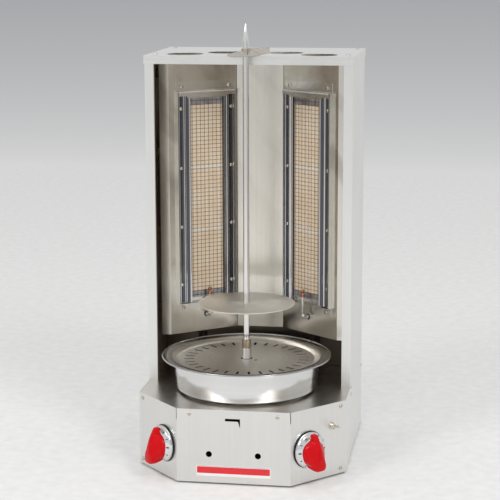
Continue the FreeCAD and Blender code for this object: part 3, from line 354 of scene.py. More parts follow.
PANEL_OUT = facing("right_ceramic_plaques")
PANEL_TURN = math.atan2(-PANEL_OUT.x, -PANEL_OUT.y)
MATERIALS = {
    "casing_sheet": casing("casing_steel", linear(243, 241, 233), linear(168, 150, 130)),
    "deck_sheet": brushed("deck_steel", linear(222, 217, 209), "x"),
    "liner_sheet": liner_with_painted_reflections("liner_steel", linear(226, 219, 210)),
    "burner_plate": brushed("burner_plate_steel", linear(230, 225, 217), roughness=0.2),
    "polished_rail": polished("polished_rail_steel", linear(206, 206, 208), 0.08),
    "burner_box": rough_metal("aluminised_steel", linear(198, 201, 206), 0.36, grit=0.1),
    "ceramic": ceramic("fired_ceramic_right", -PANEL_TURN),
    "gasket": fibre("ceramic_fibre", linear(255, 252, 246)),
    # painted shade: the baffle steel is given the dark brown of the shaded gap under the liners
    "baffle_sheet": brushed("baffle_steel", linear(96, 86, 77), roughness=0.4),
    "mesh_wire": rough_metal("heat_darkened_wire", linear(126, 98, 72), 0.55, 0.5, stain=linear(78, 54, 38)),
    "screws": polished("stainless_screw", linear(212, 204, 190), 0.16),
    # painted shade: the pilot tube is darkened below the liners, where it stands in the shaded gap
    "pilot_pipe": darkened_by_painted_shade(polished("drawn_tube", linear(214, 212, 208), 0.18), 0.262, 0.258,
                         linear(58, 52, 46)),
    "copper": rough_metal("stained_copper", linear(206, 140, 108), 0.32, grit=0.1, stain=linear(116, 68, 52)),
    "black_pipe": rough_metal("black_iron", linear(52, 52, 54), 0.55, 0.6, 0.5),
    "brass": polished("machined_brass", linear(214, 184, 118), 0.2),
    "bezel": moulded("black_ring", linear(16, 16, 17), 0.4, 0.1),
    "knob_chrome": polished("knob_chrome", linear(228, 229, 230), 0.05),
    "knob_red": moulded("red_plastic", linear(203, 2, 14), 0.22, 0.12, shine=0.12),
    "switch": polished("nickel_plate", linear(222, 216, 204), 0.12),
    "motor_paint": moulded("dark_enamel", linear(66, 68, 70), 0.4, 0.2, 0.2),
    "junction_box": moulded("grey_box", linear(96, 98, 100), 0.5, 0.1, 0.2),
    "badge": moulded("badge_white", linear(240, 240, 238), 0.3, 0.5),
    "spit_steel": brushed("turned_steel", linear(240, 236, 229), roughness=0.14, anisotropy=0.3),
    "disc_steel": spun("rolled_disc_steel", linear(228, 223, 214), 0.42),
    # painted shade: the pan's flared rim and bead are darkened by half
    "pan_aluminium": darkened_by_painted_shade(spun("spun_aluminium", linear(230, 230, 231), 0.16), 0.221, 0.2245,
                            linear(126, 122, 116), 0.5),
    # painted shade in the strainer's slots and holes
    "strainer_steel": edges_with_painted_shade(spun("satin_aluminium", linear(210, 206, 200), 0.36), linear(34, 28, 23)),
    "rubber": moulded("black_rubber", linear(26, 26, 26), 0.7, 0.0, 0.3),
}
LEFT_CERAMIC = ceramic("fired_ceramic_left", PANEL_TURN)
# heat tint and painted dark reflection for the rails' channels
RAIL_TINT_AND_PAINTED_REFLECTION = polished("rail_heat_tint_painted_reflection", linear(90, 92, 98), 0.14)
HOLDER_STEEL = brushed("folded_holder_steel", linear(198, 191, 181), "x", 0.2, smudge=0.12)
COLLAR_STEEL = brushed("collar_steel", linear(178, 163, 144), roughness=0.2, anisotropy=0.3)
# painted highlight: the hem's steel is brighter than the other steel so it shows as a bright line
HEM_HIGHLIGHT_STEEL = polished("hem_painted_highlight", linear(255, 252, 246), 0.3)
# painted shade: the pan's inside under the strainer is painted dark
PAN_INSIDE = rough_metal("pan_inside_painted_shade", linear(70, 60, 50), 0.3, 0.8, grit=0.15,
                         stain=linear(34, 27, 21))
# painted light: cap and side panels are lighter copies of the casing steel, as they catch more light
CAP_STEEL_PAINTED_LIGHT = brushed("cap_steel_painted_light", linear(255, 254, 247), "x")
SIDE_STEEL_PAINTED_LIGHT = casing("side_steel_painted_light", linear(255, 254, 248), linear(168, 150, 130))
BADGE_RED = moulded("badge_red", linear(222, 14, 34), 0.3, 0.5)
MARK_BLACK = moulded("black_mark", linear(14, 14, 15), 0.45, 0.1)
BADGE_LINE = moulded("badge_grey", linear(120, 122, 124), 0.4, 0.2)
BACKDROP_PAINT = backdrop_paint("backdrop", linear(240, 239, 237), linear(172, 174, 178))
CARD_PAINT = moulded("card_grey", linear(176, 168, 158), 0.9, 0.0)
FLOOR_PAINT = moulded("pale_floor", linear(240, 239, 237), 0.55, 0.0)


# ---------------------------------------------------------------- mesh helpers
def placed(name, data):
    """New object in the scene."""
    item = bpy.data.objects.new(name, data)
    bpy.context.scene.collection.objects.link(item)
    return item


def smoothed(mesh):
    mesh.shade_smooth()
    mesh.set_sharp_from_angle(angle=SHARP)


def mend(mesh, merge=False):
    """Turns every face outward; merge also joins doubled points and drops faces without area."""
    shell = bmesh.new()
    shell.from_mesh(mesh)
    if merge:
        bmesh.ops.remove_doubles(shell, verts=shell.verts, dist=1e-6)
        bmesh.ops.dissolve_degenerate(shell, edges=shell.edges, dist=1e-6)
    bmesh.ops.recalc_face_normals(shell, faces=shell.faces)
    shell.to_mesh(mesh)
    shell.free()


def mesh_piece(name, points, faces, slot, body, matrix=None, material=None, smooth=True):
    """A piece from points and faces, placed by a frame."""
    mesh = bpy.data.meshes.new(name)
    mesh.from_pydata([tuple(point) for point in points], [], faces)
    if matrix is not None:
        mesh.transform(matrix)
    mesh.validate()
    mesh.update()
    mend(mesh)
    mesh.materials.append(material or MATERIALS[slot])
    if smooth:
        smoothed(mesh)
    piece = placed(name, mesh)
    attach(piece, body)
    return piece


def rounded(outline, radius, steps=4, closed=True):
    """An outline with each corner turned into a small arc."""
    count = len(outline)
    points = []
    for i, corner in enumerate(outline):
        if not closed and i in (0, count - 1):
            points.append(tuple(corner))
            continue
        here = Vector(corner)
        before, after = Vector(outline[i - 1]), Vector(outline[(i + 1) % count])
        reach = min(radius, (before - here).length * 0.45, (after - here).length * 0.45)
        first = here + (before - here).normalized() * reach
        last = here + (after - here).normalized() * reach
        for step in range(steps + 1):
            t = step / steps
            points.append(tuple(first * (1 - t) ** 2 + here * 2 * t * (1 - t) + last * t ** 2))
    return points


def lathe_mesh(profile, segments):
    """Points and faces of a closed (radius, height) outline turned about z."""
    count = len(profile)
    points, faces = [], []
    for i in range(segments):
        angle = 2 * math.pi * i / segments
        j = (i + 1) % segments
        points += [(radius * math.cos(angle), radius * math.sin(angle), height) for radius, height in profile]
        for k in range(count):
            m = (k + 1) % count
            faces.append((i * count + k, j * count + k, j * count + m, i * count + m))
    return points, faces


def lathe(name, profile, slot, body, matrix, segments):
    """Solid of revolution about the frame's z axis; points on the axis are merged."""
    points, faces = lathe_mesh(profile, segments)
    piece = mesh_piece(name, points, faces, slot, body, matrix)
    mend(piece.data, merge=True)
    smoothed(piece.data)
    return piece


def tube_faces(rings, count, start=0):
    """Faces of a tube of rings with count points each, closed at both ends."""
    faces = []
    for ring in range(rings - 1):
        low = start + ring * count
        for k in range(count):
            m = (k + 1) % count
            faces.append((low + k, low + m, low + count + m, low + count + k))
    for ring in (0, rings - 1):
        faces.append(tuple(start + ring * count + k for k in range(count)))
    return faces


def soften(piece, width):
    """Rounds a piece's sharp edges, as a bent or deburred edge is."""
    weld = piece.modifiers.new("weld", "WELD")
    weld.merge_threshold = 1e-5
    flat = piece.modifiers.new("flat", "DECIMATE")
    flat.decimate_type = "DISSOLVE"
    flat.angle_limit = math.radians(0.6)
    bevel = piece.modifiers.new("bevel", "BEVEL")
    bevel.width = width
    bevel.segments = 2
    bevel.limit_method = "ANGLE"
    bevel.angle_limit = math.radians(32)
    bevel.use_clamp_overlap = True
    bevel.harden_normals = False
    weighted = piece.modifiers.new("weighted", "WEIGHTED_NORMAL")
    weighted.keep_sharp = True


def wires(name, paths, radius, slot, body, matrix, sides, material=None):
    """Round wires along point lists, all in one piece; none runs along the frame's z axis."""
    points, faces = [], []
    for path in paths:
        faces += tube_faces(len(path), sides, len(points))
        for i, point in enumerate(path):
            here = Vector(point)
            ahead = Vector(path[min(i + 1, len(path) - 1)]) - Vector(path[max(i - 1, 0)])
            side = ahead.cross(UP).normalized()
            lift = side.cross(ahead).normalized()
            for k in range(sides):
                angle = 2 * math.pi * k / sides
                points.append(here + side * (radius * math.cos(angle)) + lift * (radius * math.sin(angle)))
    return mesh_piece(name, points, faces, slot, body, matrix, material)


# ---------------------------------------------------------------- carried-over CAD nodes
SPECIAL = {"top_cap": CAP_STEEL_PAINTED_LIGHT, "left_side_panel": SIDE_STEEL_PAINTED_LIGHT, "right_side_panel": SIDE_STEEL_PAINTED_LIGHT,
           "top_meat_holder": HOLDER_STEEL, "skewer_collars": COLLAR_STEEL,
           "left_ceramic_plaques": LEFT_CERAMIC}


def carry_over():
    """Every CAD node gets its slot's material and softened edges."""
    for name, node in nodes.items():
        node.data.materials.clear()
        node.data.materials.append(SPECIAL.get(name) or MATERIALS[slot_of[name]])
        node.data.shade_smooth()
        soften(node, 0.35 * MM)


carry_over()


# ---------------------------------------------------------------- burners
PLAQUE_FRONT = 2.98 * MM  # how far the plaques stand out of the liner panel


def burner_frame(side):
    """Frame on the face of a burner's liner panel, at the middle of its plaques."""
    plaques = side + "_ceramic_plaques"
    low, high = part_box(plaques)
    outward = facing(plaques)
    front = max(v.co.dot(outward) for v in nodes[plaques].data.vertices)
    center = (low + high) / 2
    center += outward * (front - center.dot(outward) - PLAQUE_FRONT)
    return standing(center, outward)


def woven_wire(side):
    """Square-mesh screen: upright wires woven through level ones."""
    frame_at = burner_frame(side)
    low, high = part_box(side + "_wire_mesh")
    half_height, half_width = (high.z - low.z) / 2, 38.1 * MM
    columns, rows, margin = 8, 50, 4 * MM
    radius, weave, depth = 0.42 * MM, 0.36 * MM, 6.1 * MM
    xs = [(-half_width + margin) + (2 * half_width - 2 * margin) * i / (columns - 1) for i in range(columns)]
    zs = [(-half_height + margin) + (2 * half_height - 2 * margin) * i / (rows - 1) for i in range(rows)]
    paths = []
    for i, x in enumerate(xs):
        stops = [(-half_height, 0)] + [(z, (-1) ** (i + j)) for j, z in enumerate(zs)] + [(half_height, 0)]
        paths.append([(x, z, depth + weave * way) for z, way in stops])
    for j, z in enumerate(zs):
        stops = [(-half_width, 0)] + [(x, -(-1) ** (i + j)) for i, x in enumerate(xs)] + [(half_width, 0)]
        paths.append([(x, z, depth + weave * way) for x, way in stops])
    piece = wires(side + "_woven_screen", paths, radius, "mesh_wire", "root", frame_at, 6)
    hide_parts(side + "_wire_mesh")


# Section of a reflector rail from its inner foot to its outer edge: (across, out, tinted and painted dark) in
# millimetres.
RAIL_SECTION = [(39.0, 4.6, True), (39.6, 8.8, True), (40.4, 9.9, False), (42.2, 9.9, False),
                (43.4, 8.8, True), (46.6, 6.0, True), (48.2, 5.4, True), (49.4, 6.2, False),
                (50.4, 7.9, False), (52.4, 7.9, False), (53.4, 5.9, False), (54.4, 5.3, True),
                (64.6, 5.3, True), (65.2, 6.0, False), (65.6, 8.8, False), (66.2, 9.9, False),
                (68.2, 9.9, False)]
RAIL_SHEET = 0.7


def rail(side, way):
    """One rail: rolled section with polished crests and heat-tinted channels, darkened further as painted
    reflection.
    """
    low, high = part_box(side + "_rails")
    plaques_low, plaques_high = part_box(side + "_ceramic_plaques")
    middle_z = (plaques_low.z + plaques_high.z) / 2
    bottom, top = low.z - middle_z, high.z - middle_z
    ring = [(x, z) for x, z, _ in RAIL_SECTION] + [(x, z - RAIL_SHEET) for x, z, _ in reversed(RAIL_SECTION)]
    last = len(RAIL_SECTION) - 1
    dark = [k < last and RAIL_SECTION[k][2] and RAIL_SECTION[k + 1][2] for k in range(len(ring))]
    steps = 10
    points = []
    for step in range(steps + 1):
        y = bottom + (top - bottom) * step / steps
        points += [(way * x * MM, y, z * MM) for x, z in ring]
    faces = tube_faces(steps + 1, len(ring))
    name = f"{side}_burner_rail_{'inner' if (way > 0) == (side == 'left') else 'outer'}"
    piece = mesh_piece(name, points, faces, "polished_rail", "root", burner_frame(side))
    piece.data.materials.append(RAIL_TINT_AND_PAINTED_REFLECTION)
    for face, tinted in zip(piece.data.polygons, dark * steps + [False, False]):
        face.material_index = 1 if tinted else 0
    return piece


def rails():
    for side in ("left", "right"):
        pair = [rail(side, way) for way in (-1, 1)]
        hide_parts(side + "_rails")


for burner_side in ("left", "right"):
    woven_wire(burner_side)
rails()


# ---------------------------------------------------------------- screws
# Outline of a screw head, in shares of its radius and height.
HEAD_OUTLINE = [(1.0, 0.0), (1.0, 0.35), (0.93, 0.62), (0.78, 0.84), (0.5, 0.97)]
CORNERS = [(-1, -1), (1, -1), (1, 1), (-1, 1)]
BLOCK_FACES = [(0, 3, 2, 1), (4, 5, 6, 7), (0, 1, 5, 4), (1, 2, 6, 5), (2, 3, 7, 6), (3, 0, 4, 7)]


def scratch(name, points, faces):
    """Object that only helps to make another one."""
    mesh = bpy.data.meshes.new(name)
    mesh.from_pydata(points, [], faces)
    return placed(name, mesh)


def cut_away(item, cutter):
    """Takes one scratch object out of another and deletes it."""
    cut = item.modifiers.new("recess", "BOOLEAN")
    cut.object = cutter
    cut.solver = "EXACT"
    bpy.context.view_layer.update()
    evaluated = item.evaluated_get(bpy.context.evaluated_depsgraph_get())
    carved = bpy.data.meshes.new_from_object(evaluated)
    item.modifiers.clear()
    item.data = carved
    bpy.data.objects.remove(cutter)


def cross_head(radius, height):
    """Points and faces of a pan-head screw with a cross recess, standing on z = 0."""
    outline = [(radius * across, height * up) for across, up in HEAD_OUTLINE]
    profile = rounded(outline, height * 0.12, 2, closed=False) + [(0.0, height), (0.0, 0.0)]
    head = scratch("head_template", *lathe_mesh(profile, 28))
    mend(head.data, merge=True)
    smoothed(head.data)
    arm, wide, floor = radius * 0.56, radius * 0.13, height - height * 0.6
    for half_x, half_y in ((arm, wide), (wide, arm)):
        corners = []
        for z, taper in ((floor, 0.55), (height * 1.3, 1.0)):
            x, y = (half_x * taper, half_y) if half_x == arm else (half_x, half_y * taper)
            corners += [(way_x * x, way_y * y, z) for way_x, way_y in CORNERS]
        cut_away(head, scratch("cutter", corners, BLOCK_FACES))
    points = [tuple(v.co) for v in head.data.vertices]
    faces = [tuple(face.vertices) for face in head.data.polygons]
    bpy.data.objects.remove(head)
    return points, faces


def solids_of(node):
    """Boxes (low, high) of a node's separate solids, from its connected pieces."""
    shell = bmesh.new()
    shell.from_mesh(nodes[node].data)
    bmesh.ops.remove_doubles(shell, verts=shell.verts, dist=1e-6)
    unseen = set(shell.verts)
    boxes = []
    while unseen:
        stack = [unseen.pop()]
        low, high = stack[0].co.copy(), stack[0].co.copy()
        while stack:
            vert = stack.pop()
            for axis in range(3):
                low[axis] = min(low[axis], vert.co[axis])
                high[axis] = max(high[axis], vert.co[axis])
            for edge in vert.link_edges:
                other = edge.other_vert(vert)
                if other in unseen:
                    unseen.discard(other)
                    stack.append(other)
        boxes.append((low, high))
    shell.free()
    return boxes


def screw_heads(name, node, measure):
    """Every screw of a node in one piece. From the box of a screw's CAD solid, measure gives the way it
    points, its head's radius and height, and its length."""
    heads = {}
    points, faces = [], []
    for low, high in solids_of(node):
        outward, radius, height, length = measure(low, high)
        seat = (low + high) / 2 + outward * (length / 2) - outward * height
        turn = UP.rotation_difference(outward).to_matrix().to_4x4()
        spin = Matrix.Rotation((low.x * 977 + low.z * 613) % 1.57, 4, "Z")  # each recess lies its own way
        matrix = Matrix.Translation(seat) @ turn @ spin
        if (radius, height) not in heads:
            heads[radius, height] = cross_head(radius, height)
        head_points, head_faces = heads[radius, height]
        base = len(points)
        points += [matrix @ Vector(point) for point in head_points]
        faces += [tuple(base + i for i in face) for face in head_faces]
    piece = mesh_piece(name, points, faces, "screws", "root")
    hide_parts(node)


APRON_FRONT, APRON_BACK = (corner.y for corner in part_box("control_panel"))


def casing_screw(low, high):
    """Measures of a casing screw: in the cap, in the apron's front, in a side panel or in a chamfer."""
    size, center = high - low, (low + high) / 2
    side = 1 if center.x > 0 else -1
    if center.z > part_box("top_cap")[0].z:
        return UP, 4.6 * MM, 2.6 * MM, high.z - low.z
    if size.x < 11 * MM and size.z < 9.5 * MM and abs(center.y - APRON_FRONT) < 6 * MM:
        return Vector((0, -1, 0)), 4.2 * MM, 2.0 * MM, high.y - low.y
    if abs(center.x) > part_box("right_side_panel")[1].x - 4 * MM and center.y > APRON_BACK:
        return Vector((side, 0, 0)), 4.0 * MM, 1.5 * MM, high.x - low.x
    return Vector((side * KNOB_OUT.x, KNOB_OUT.y, 0)), 4.2 * MM, 2.0 * MM, 7.0 * MM


def burner_screw(low, high):
    """Measures of a burner screw of the larger or the smaller kind."""
    side = 1 if (low.x + high.x) > 0 else -1
    outward = Vector((side * PANEL_OUT.x, PANEL_OUT.y, 0))
    if high.z - low.z > 8.2 * MM:
        return outward, 4.4 * MM, 3.4 * MM, 10.4 * MM
    return outward, 3.8 * MM, 2.2 * MM, 2.2 * MM


screw_heads("casing_screw_heads", "casing_screws", casing_screw)
screw_heads("burner_screw_heads", "burner_screws", burner_screw)


# ---------------------------------------------------------------- pilots and bracket hems
def pilot_feet():
    """Middle of the underside of each pilot tip."""
    return [Vector(((low.x + high.x) / 2, (low.y + high.y) / 2, low.z))
            for low, high in solids_of("pilot_tips")]


def pilot_tips():
    """Copper tips: a domed head on a waisted neck and a collar."""
    low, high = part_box("pilot_tips")
    profile = [(0.0, 0.0), (4.3, 0.0), (4.3, 5.4), (3.6, 6.4), (2.7, 7.4), (2.7, 8.8), (3.9, 10.2),
               (4.1, 12.4), (3.2, 14.6), (0.0, (high.z - low.z) / MM)]
    profile = [(radius * MM, height * MM) for radius, height in profile]
    points, faces = lathe_mesh(rounded(profile, 0.8 * MM, 3, closed=False), 32)
    places = [Matrix.Translation(foot) for foot in pilot_feet()]
    joined = [place @ Vector(point) for place in places for point in points]
    all_faces = [tuple(index + k * len(points) for index in face)
                 for k in range(len(places)) for face in faces]
    piece = mesh_piece("waisted_pilot_tips", joined, all_faces, "copper", "root")
    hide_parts("pilot_tips")


def pilot_sleeve(side):
    """Thicker lower end of a pilot tube with the hexagon nut above its elbow."""
    x, y, top = next(foot for foot in pilot_feet() if (foot.x > 0) == (side == "right"))
    elbow = top - 47 * MM
    place = Matrix.Translation((x, y, 0))
    sleeve = [(2.7, elbow + 9 * MM), (3.3, elbow + 10 * MM), (3.3, top - 1.5 * MM), (3.0, top), (2.7, top)]
    sleeve = [(radius * MM, height) for radius, height in sleeve]
    lathe(side + "_pilot_sleeve", sleeve, "pilot_pipe", "root", place, 32)
    points = []
    for height, radius in ((0, 4.6), (0.7, 5.3), (6.3, 5.3), (7.0, 4.6)):
        for corner in range(6):
            angle = math.radians(60 * corner + 20)
            points.append((radius * MM * math.cos(angle), radius * MM * math.sin(angle),
                           elbow + (3 + height) * MM))
    faces = tube_faces(4, 6)
    mesh_piece(side + "_pilot_nut", points, faces, "pilot_pipe", "root", place, smooth=False)


def bracket_hem(side):
    """Rolled hem along the top edge of a burner's upper bracket, in brighter steel as a painted highlight."""
    frame_at = burner_frame(side)
    inverse = frame_at.inverted()
    spots = [inverse @ v.co for v in nodes[side + "_end_brackets"].data.vertices]
    top = max(spot.y for spot in spots)
    upper = [spot for spot in spots if spot.y > top - 2 * MM]
    out = max(spot.z for spot in upper)
    left, right = min(spot.x for spot in upper), max(spot.x for spot in upper)
    radius = 1.7 * MM
    height, depth = top - radius * 0.4, out - radius * 0.4
    path = [(left + 2 * MM, height, depth), (right - 2 * MM, height, depth)]
    wires(side + "_bracket_hem", [path], radius, "polished_rail", "root", frame_at, 16, material=HEM_HIGHLIGHT_STEEL)


pilot_tips()
for pilot_side in ("left", "right"):
    pilot_sleeve(pilot_side)
    bracket_hem(pilot_side)


# ---------------------------------------------------------------- spit and pan
def spit_frame():
    return Matrix.Translation((SPIT[0], SPIT[1], 0))


def drip_pan():
    """Spun pan: rounded foot, sloping wall, broad flared rim with a rolled bead."""
    low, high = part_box("drip_pan")
    outer = (high.x - low.x) / 2
    foot, wall, hole, sheet = 147.5 * MM, 153.0 * MM, 16.1 * MM, 1.6 * MM
    base, shoulder_z = low.z, high.z - 7.1 * MM
    outside = [(hole, base), (foot - 2.6 * MM, base), (foot, base + 2.8 * MM),
               (wall - 0.6 * MM, shoulder_z - 5 * MM), (wall + 1.2 * MM, shoulder_z - 0.6 * MM),
               (wall + 6 * MM, shoulder_z + 1.2 * MM), (outer - 3.4 * MM, high.z - 3.2 * MM)]
    bead = []
    bead_x, bead_z, bead_radius = outer - 1.7 * MM, high.z - 1.7 * MM, 1.68 * MM
    for step in range(13):
        angle = math.radians(-130 + 310 * step / 12)
        bead.append((bead_x + bead_radius * math.cos(angle), bead_z + bead_radius * math.sin(angle)))
    inside = [(outer - 4.2 * MM, high.z - 1.5 * MM), (wall + 5 * MM, shoulder_z + 1.2 * MM + sheet),
              (wall - 0.6 * MM, shoulder_z + sheet), (wall - 0.9 * MM - sheet, shoulder_z - 4 * MM),
              (foot - sheet, base + 7.6 * MM), (foot - 5 * MM, base + 3.2 * MM),
              (foot - 10 * MM, base + sheet),
              (hole, base + sheet)]
    profile = rounded(outside, 2 * MM, 4, closed=False) + bead + rounded(inside, 3 * MM, 4, closed=False)
    piece = lathe("spun_drip_pan", profile, "pan_aluminium", "pan", spit_frame(), 160)
    piece.data.materials.append(PAN_INSIDE)
    # painted shade: inward faces and the floor below the shoulder take the dark inside material
    for face in piece.data.polygons:
        inward = (SPIT[0] - face.center.x) * face.normal.x + (SPIT[1] - face.center.y) * face.normal.y > 0
        above_floor = face.normal.z > 0.5 and face.center.z < low.z + 10 * MM
        if face.center.z < shoulder_z - 4 * MM and (inward or above_floor):
            face.material_index = 1
    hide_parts("drip_pan")


def meat_disc():
    """Rolled disc with a rounded edge."""
    low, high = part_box("meat_disc")
    radius = (high.x - low.x) / 2
    bore, edge_radius = 6.45 * MM, 0.98 * MM
    mid = (low.z + high.z) / 2
    turns = [math.radians(angle) for angle in range(-90, 91, 15)]
    edge = [(radius + edge_radius * (math.cos(turn) - 1), mid + edge_radius * math.sin(turn))
            for turn in turns]
    profile = [(bore, low.z)] + edge + [(bore, high.z)]
    piece = lathe("rolled_meat_disc", profile, "disc_steel", "disc", spit_frame(), 128)
    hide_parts("meat_disc")


def skewer():
    """Rod with a ground point."""
    low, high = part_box("skewer_rod")
    radius = (high.x - low.x) / 2
    point_z = high.z - 38 * MM
    profile = [(0.0, low.z), (radius - 1 * MM, low.z), (radius, low.z + 1 * MM), (radius, point_z - 2 * MM),
               (radius * 0.985, point_z + 0.5 * MM), (1.5 * MM, high.z - 1.6 * MM),
               (0.9 * MM, high.z - 0.5 * MM),
               (0.0, high.z)]
    piece = lathe("ground_skewer", profile, "spit_steel", "skewer", spit_frame(), 40)
    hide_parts("skewer_rod")


drip_pan()
meat_disc()
skewer()


# ---------------------------------------------------------------- knobs
def knob_frame(side):
    joint = joints[side + "_knob_turn"]
    return standing(Vector(joint["pos_m"]), joint["axis"])


def through(points, place):
    """Smooth curve through (place, value) points."""
    last = len(points) - 1
    index = max(k for k in range(last) if k == 0 or points[k][0] <= place)
    before, low, high, after = (points[max(0, min(last, index + k))] for k in (-1, 0, 1, 2))
    part = (place - low[0]) / (high[0] - low[0])
    rise_low = (high[1] - before[1]) / max(high[0] - before[0], 1e-6) * (high[0] - low[0])
    rise_high = (after[1] - low[1]) / max(after[0] - low[0], 1e-6) * (high[0] - low[0])
    square, cube = part * part, part ** 3
    return ((2 * cube - 3 * square + 1) * low[1] + (cube - 2 * square + part) * rise_low
            + (3 * square - 2 * cube) * high[1] + (cube - square) * rise_high)


# The grip in millimetres: its ends and its lowest and highest levels out of the panel, the radius and the
# middle of its round foot, the rounding of its ends, and half the width of its crown along its length.
GRIP_LOW, GRIP_TOP = -36.5, 35.8
GRIP_FOOT, GRIP_CROWN = 12.9, 40.8
FOOT_RADIUS, FOOT_MIDDLE = 27.0, -4.0
END_ROUND = 2.0
FLANK_CURVE, FLANK_STEPS = 1.9, 8
GRIP_FACE = [(-36.5, 9.5), (-32, 13.0), (-26, 13.6), (-18, 11.6), (-9, 8.4), (2, 6.8), (14, 6.0), (26, 5.0),
             (35.8, 4.2)]


def grip_section(y):
    """Ring of (across, out) points of the grip at height y: hollow flanks up to a convex crown."""
    near_end = min(y - GRIP_LOW, GRIP_TOP - y) / END_ROUND
    inset = END_ROUND * (1 - math.sqrt(1 - (1 - near_end) ** 2)) if near_end < 1 else 0.0
    face = through(GRIP_FACE, y) - inset
    disc = math.sqrt(max(FOOT_RADIUS ** 2 - (y - FOOT_MIDDLE) ** 2, 0.0))
    foot_half = max(disc - inset, face + 1.0)
    overhang = max(0.0, min(1.0, (-27.0 - y) / 8.0))
    foot = GRIP_FOOT + 15.0 * overhang * overhang + inset
    slope = max(0.0, y + 20.0) * 0.283 - 3.2 * max(0.0, 1 - ((y - 6.0) / 28.0) ** 2)
    crown = GRIP_CROWN - max(0.0, slope) - 0.6 * (y / 36.0) ** 2 - inset
    half = []
    for step in range(FLANK_STEPS + 1):
        part = step / FLANK_STEPS
        half.append((foot_half + (face + 0.3 - foot_half) * part ** FLANK_CURVE,
                     foot + (crown - 1.8 - foot) * part))
    half += [(face - 0.1, crown - 0.9), (face - 0.8, crown - 0.3), (face - 1.8, crown),
             (face * 0.55, crown + 0.55)]
    return half + [(0.0, crown + 0.75)] + [(-across, out) for across, out in reversed(half)]


def knob_grip(side):
    """Moulded grip: flared foot, hollow flanks and a crown that slopes down towards the point."""
    steps = 72
    points = []
    for k in range(steps + 1):
        y = GRIP_LOW + (GRIP_TOP - GRIP_LOW) * 0.5 * (1 - math.cos(math.pi * k / steps))
        ring = grip_section(y)
        points += [(across * MM, y * MM, out * MM) for across, out in ring]
    faces = tube_faces(steps + 1, len(ring))
    piece = mesh_piece(side + "_knob_handle", points, faces, "knob_red", side + "_knob", knob_frame(side))
    piece.visible_glossy = False
    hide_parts(side + "_knob_grip")


def knob_skirt(side):
    """Plated skirt: upright rim, sloping dial face and a low seat for the grip."""
    low, seat, crest, shoulder = 3.4, 12.9, 15.0, 10.6
    profile = [(9.0, low), (9.0, 9.5), (33.6, 8.4), (34.6, low), (37.4, low), (37.2, 7.6), (35.6, shoulder),
               (28.4, crest), (27.6, crest), (27.2, seat), (4.05, seat), (4.05, low)]
    profile = rounded([(radius * MM, height * MM) for radius, height in profile], 0.9 * MM, 4)
    piece = lathe(side + "_knob_plated_skirt", profile, "knob_chrome", side + "_knob", knob_frame(side), 96)
    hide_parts(side + "_knob_skirt")


def dial_marks(side):
    """Plain tick marks round the skirt's sloping face; each third one is longer and wider."""
    points, faces = [], []
    for index in range(1, 12):
        angle = math.radians(90 + 30 * index)
        half_width, inner = (1.5, 29.6) if index % 3 == 0 else (0.9, 31.0)
        along = Vector((math.cos(angle), math.sin(angle), 0))
        across = Vector((-math.sin(angle), math.cos(angle), 0))
        for radius in (inner, 34.8):
            surface = 10.6 + (35.6 - radius) / 7.2 * 4.4
            for way in (-1, 1):
                for lift in (-0.4, 0.14):
                    points.append((along * radius + across * (way * half_width) + UP * (surface + lift)) * MM)
        b = len(points) - 8
        faces += [(b, b + 1, b + 3, b + 2), (b + 4, b + 6, b + 7, b + 5), (b, b + 4, b + 5, b + 1),
                  (b + 2, b + 3, b + 7, b + 6), (b, b + 2, b + 6, b + 4), (b + 1, b + 5, b + 7, b + 3)]
    mesh_piece(side + "_knob_dial_marks", points, faces, "knob_chrome", side + "_knob", knob_frame(side),
               MARK_BLACK, smooth=False)


for knob_side in ("left", "right"):
    knob_grip(knob_side)
    knob_skirt(knob_side)
    dial_marks(knob_side)


# ---------------------------------------------------------------- badge
def badge():
    """Plain enamelled badge: white plate, red band and a thin line; nothing is written on it."""
    low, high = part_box("nameplate")

    def slab(name, x0, x1, z0, z1, proud, material, corner):
        outline = rounded([(x0, z0), (x1, z0), (x1, z1), (x0, z1)], corner, 4)
        count = len(outline)
        points = [(x, low.y + 0.3 * MM, z) for x, z in outline] + [(x, low.y - proud, z) for x, z in outline]
        faces = [tuple(range(count)), tuple(range(2 * count - 1, count - 1, -1))]
        faces += [(k, (k + 1) % count, count + (k + 1) % count, count + k) for k in range(count)]
        mesh_piece(name, points, faces, "badge", "root", None, material)

    band_end = high.x - 0.6 * MM - 0.006 * (high.x - low.x)
    slab("badge_red_band", low.x + 1.6 * MM, band_end, low.z + 6.0 * MM, low.z + 19.6 * MM, 0.14 * MM,
         BADGE_RED, 0.5 * MM)
    slab("badge_thin_line", low.x + 2.4 * MM, high.x - 2.4 * MM, high.z - 1.4 * MM, high.z - 0.8 * MM,
         0.1 * MM, BADGE_LINE, 0.2 * MM)


badge()


# ---------------------------------------------------------------- studio
def aimed(place, target):
    """Placement whose local -Z looks from place to target."""
    turn = (Vector(target) - Vector(place)).to_track_quat("-Z", "Y")
    return Matrix.Translation(place) @ turn.to_matrix().to_4x4()


def area_light(name, place, target, width, height, power):
    data = bpy.data.lights.new(name, "AREA")
    data.shape = "RECTANGLE"
    data.size, data.size_y = width, height
    data.energy = power
    placed(name, data).matrix_world = aimed(place, target)


def sheet(name, points, faces, material):
    """Sheet of the studio, outside the model."""
    mesh = bpy.data.meshes.new(name)
    mesh.from_pydata(points, [], faces)
    mesh.materials.append(material)
    return placed(name, mesh)


def rectangle(half_width, half_height):
    return [(way_x * half_width, way_y * half_height, 0) for way_x, way_y in CORNERS]


def dark_card(name, place, target, width, height):
    """Dark card that only shows as a reflection in the metal."""
    card = sheet(name, rectangle(width / 2, height / 2), [(0, 1, 2, 3)], CARD_PAINT)
    card.matrix_world = aimed(place, target)
    for ray in ("camera", "diffuse", "shadow", "transmission"):
        setattr(card, "visible_" + ray, False)


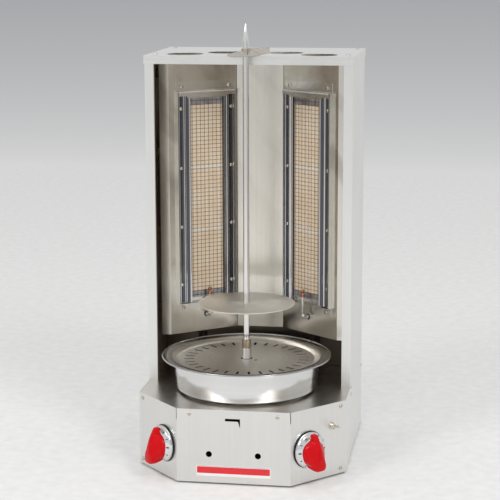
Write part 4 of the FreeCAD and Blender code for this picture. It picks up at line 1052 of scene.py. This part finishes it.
def backdrop():
    """Paper sweep far behind the model; it is only seen, and neither lights nor shades anything."""
    bend, half_width, bends, top = 4.0, 40.0, 24, 24.0
    curve = []
    for step in range(bends + 1):
        angle = math.pi / 2 * step / bends
        curve.append((SWEEP_START + bend * math.sin(angle), 0.002 + bend * (1 - math.cos(angle))))
    curve.append((SWEEP_START + bend, top))
    points = [(x, y, z) for y, z in curve for x in (-half_width, half_width)]
    faces = [(2 * k, 2 * k + 1, 2 * k + 3, 2 * k + 2) for k in range(len(curve) - 1)]
    wall = sheet("studio_backdrop", points, faces, BACKDROP_PAINT)
    wall.data.shade_smooth()
    for ray in ("glossy", "diffuse", "shadow"):
        setattr(wall, "visible_" + ray, False)


def studio():
    floor = sheet("studio_floor", rectangle(14.0, 14.0), [(0, 1, 2, 3)], FLOOR_PAINT)
    backdrop()

    world = bpy.data.worlds.new("studio_world")
    world.use_nodes = True
    sky = world.node_tree.nodes["Background"].inputs
    sky["Color"].default_value = (0.82, 0.83, 0.84, 1)
    sky["Strength"].default_value = 0.87
    bpy.context.scene.world = world

    target = (0, 0, 0.45)
    area_light("key_left", (-2.2, -2.6, 3.0), target, 1.4, 1.6, 45)
    area_light("fill_right", (2.4, -2.6, 3.4), target, 1.4, 1.6, 55)
    dark_card("card_right", (1.5, -0.9, 0.55), (0, 0, 0.55), 0.9, 1.1)
    dark_card("card_left", (-1.6, -0.35, 0.55), (0, 0, 0.55), 0.8, 0.9)
    bpy.context.scene.view_settings.view_transform = "Standard"


studio()


# ---------------------------------------------------------------- camera
def make_camera():
    """Camera a little to the right of the front and above the cap; angles in radians."""
    place = Vector((0.50826, -3.24972, 1.07339))
    yaw, pitch, roll = 0.15620, 0.19123, -0.00284
    forward = Vector((-math.sin(yaw) * math.cos(pitch), math.cos(yaw) * math.cos(pitch), -math.sin(pitch)))
    flat_right = Vector((math.cos(yaw), math.sin(yaw), 0))
    flat_up = flat_right.cross(forward)
    right = math.cos(roll) * flat_right + math.sin(roll) * flat_up
    up = -math.sin(roll) * flat_right + math.cos(roll) * flat_up
    data = bpy.data.cameras.new("camera")
    data.lens = 113.97
    data.sensor_width = 36.0
    data.clip_start, data.clip_end = 0.05, 60
    camera = placed("camera", data)
    turned = Matrix((right, up, -forward)).transposed().to_4x4()
    turned.translation = place
    camera.matrix_world = turned
    bpy.context.scene.camera = camera


make_camera()
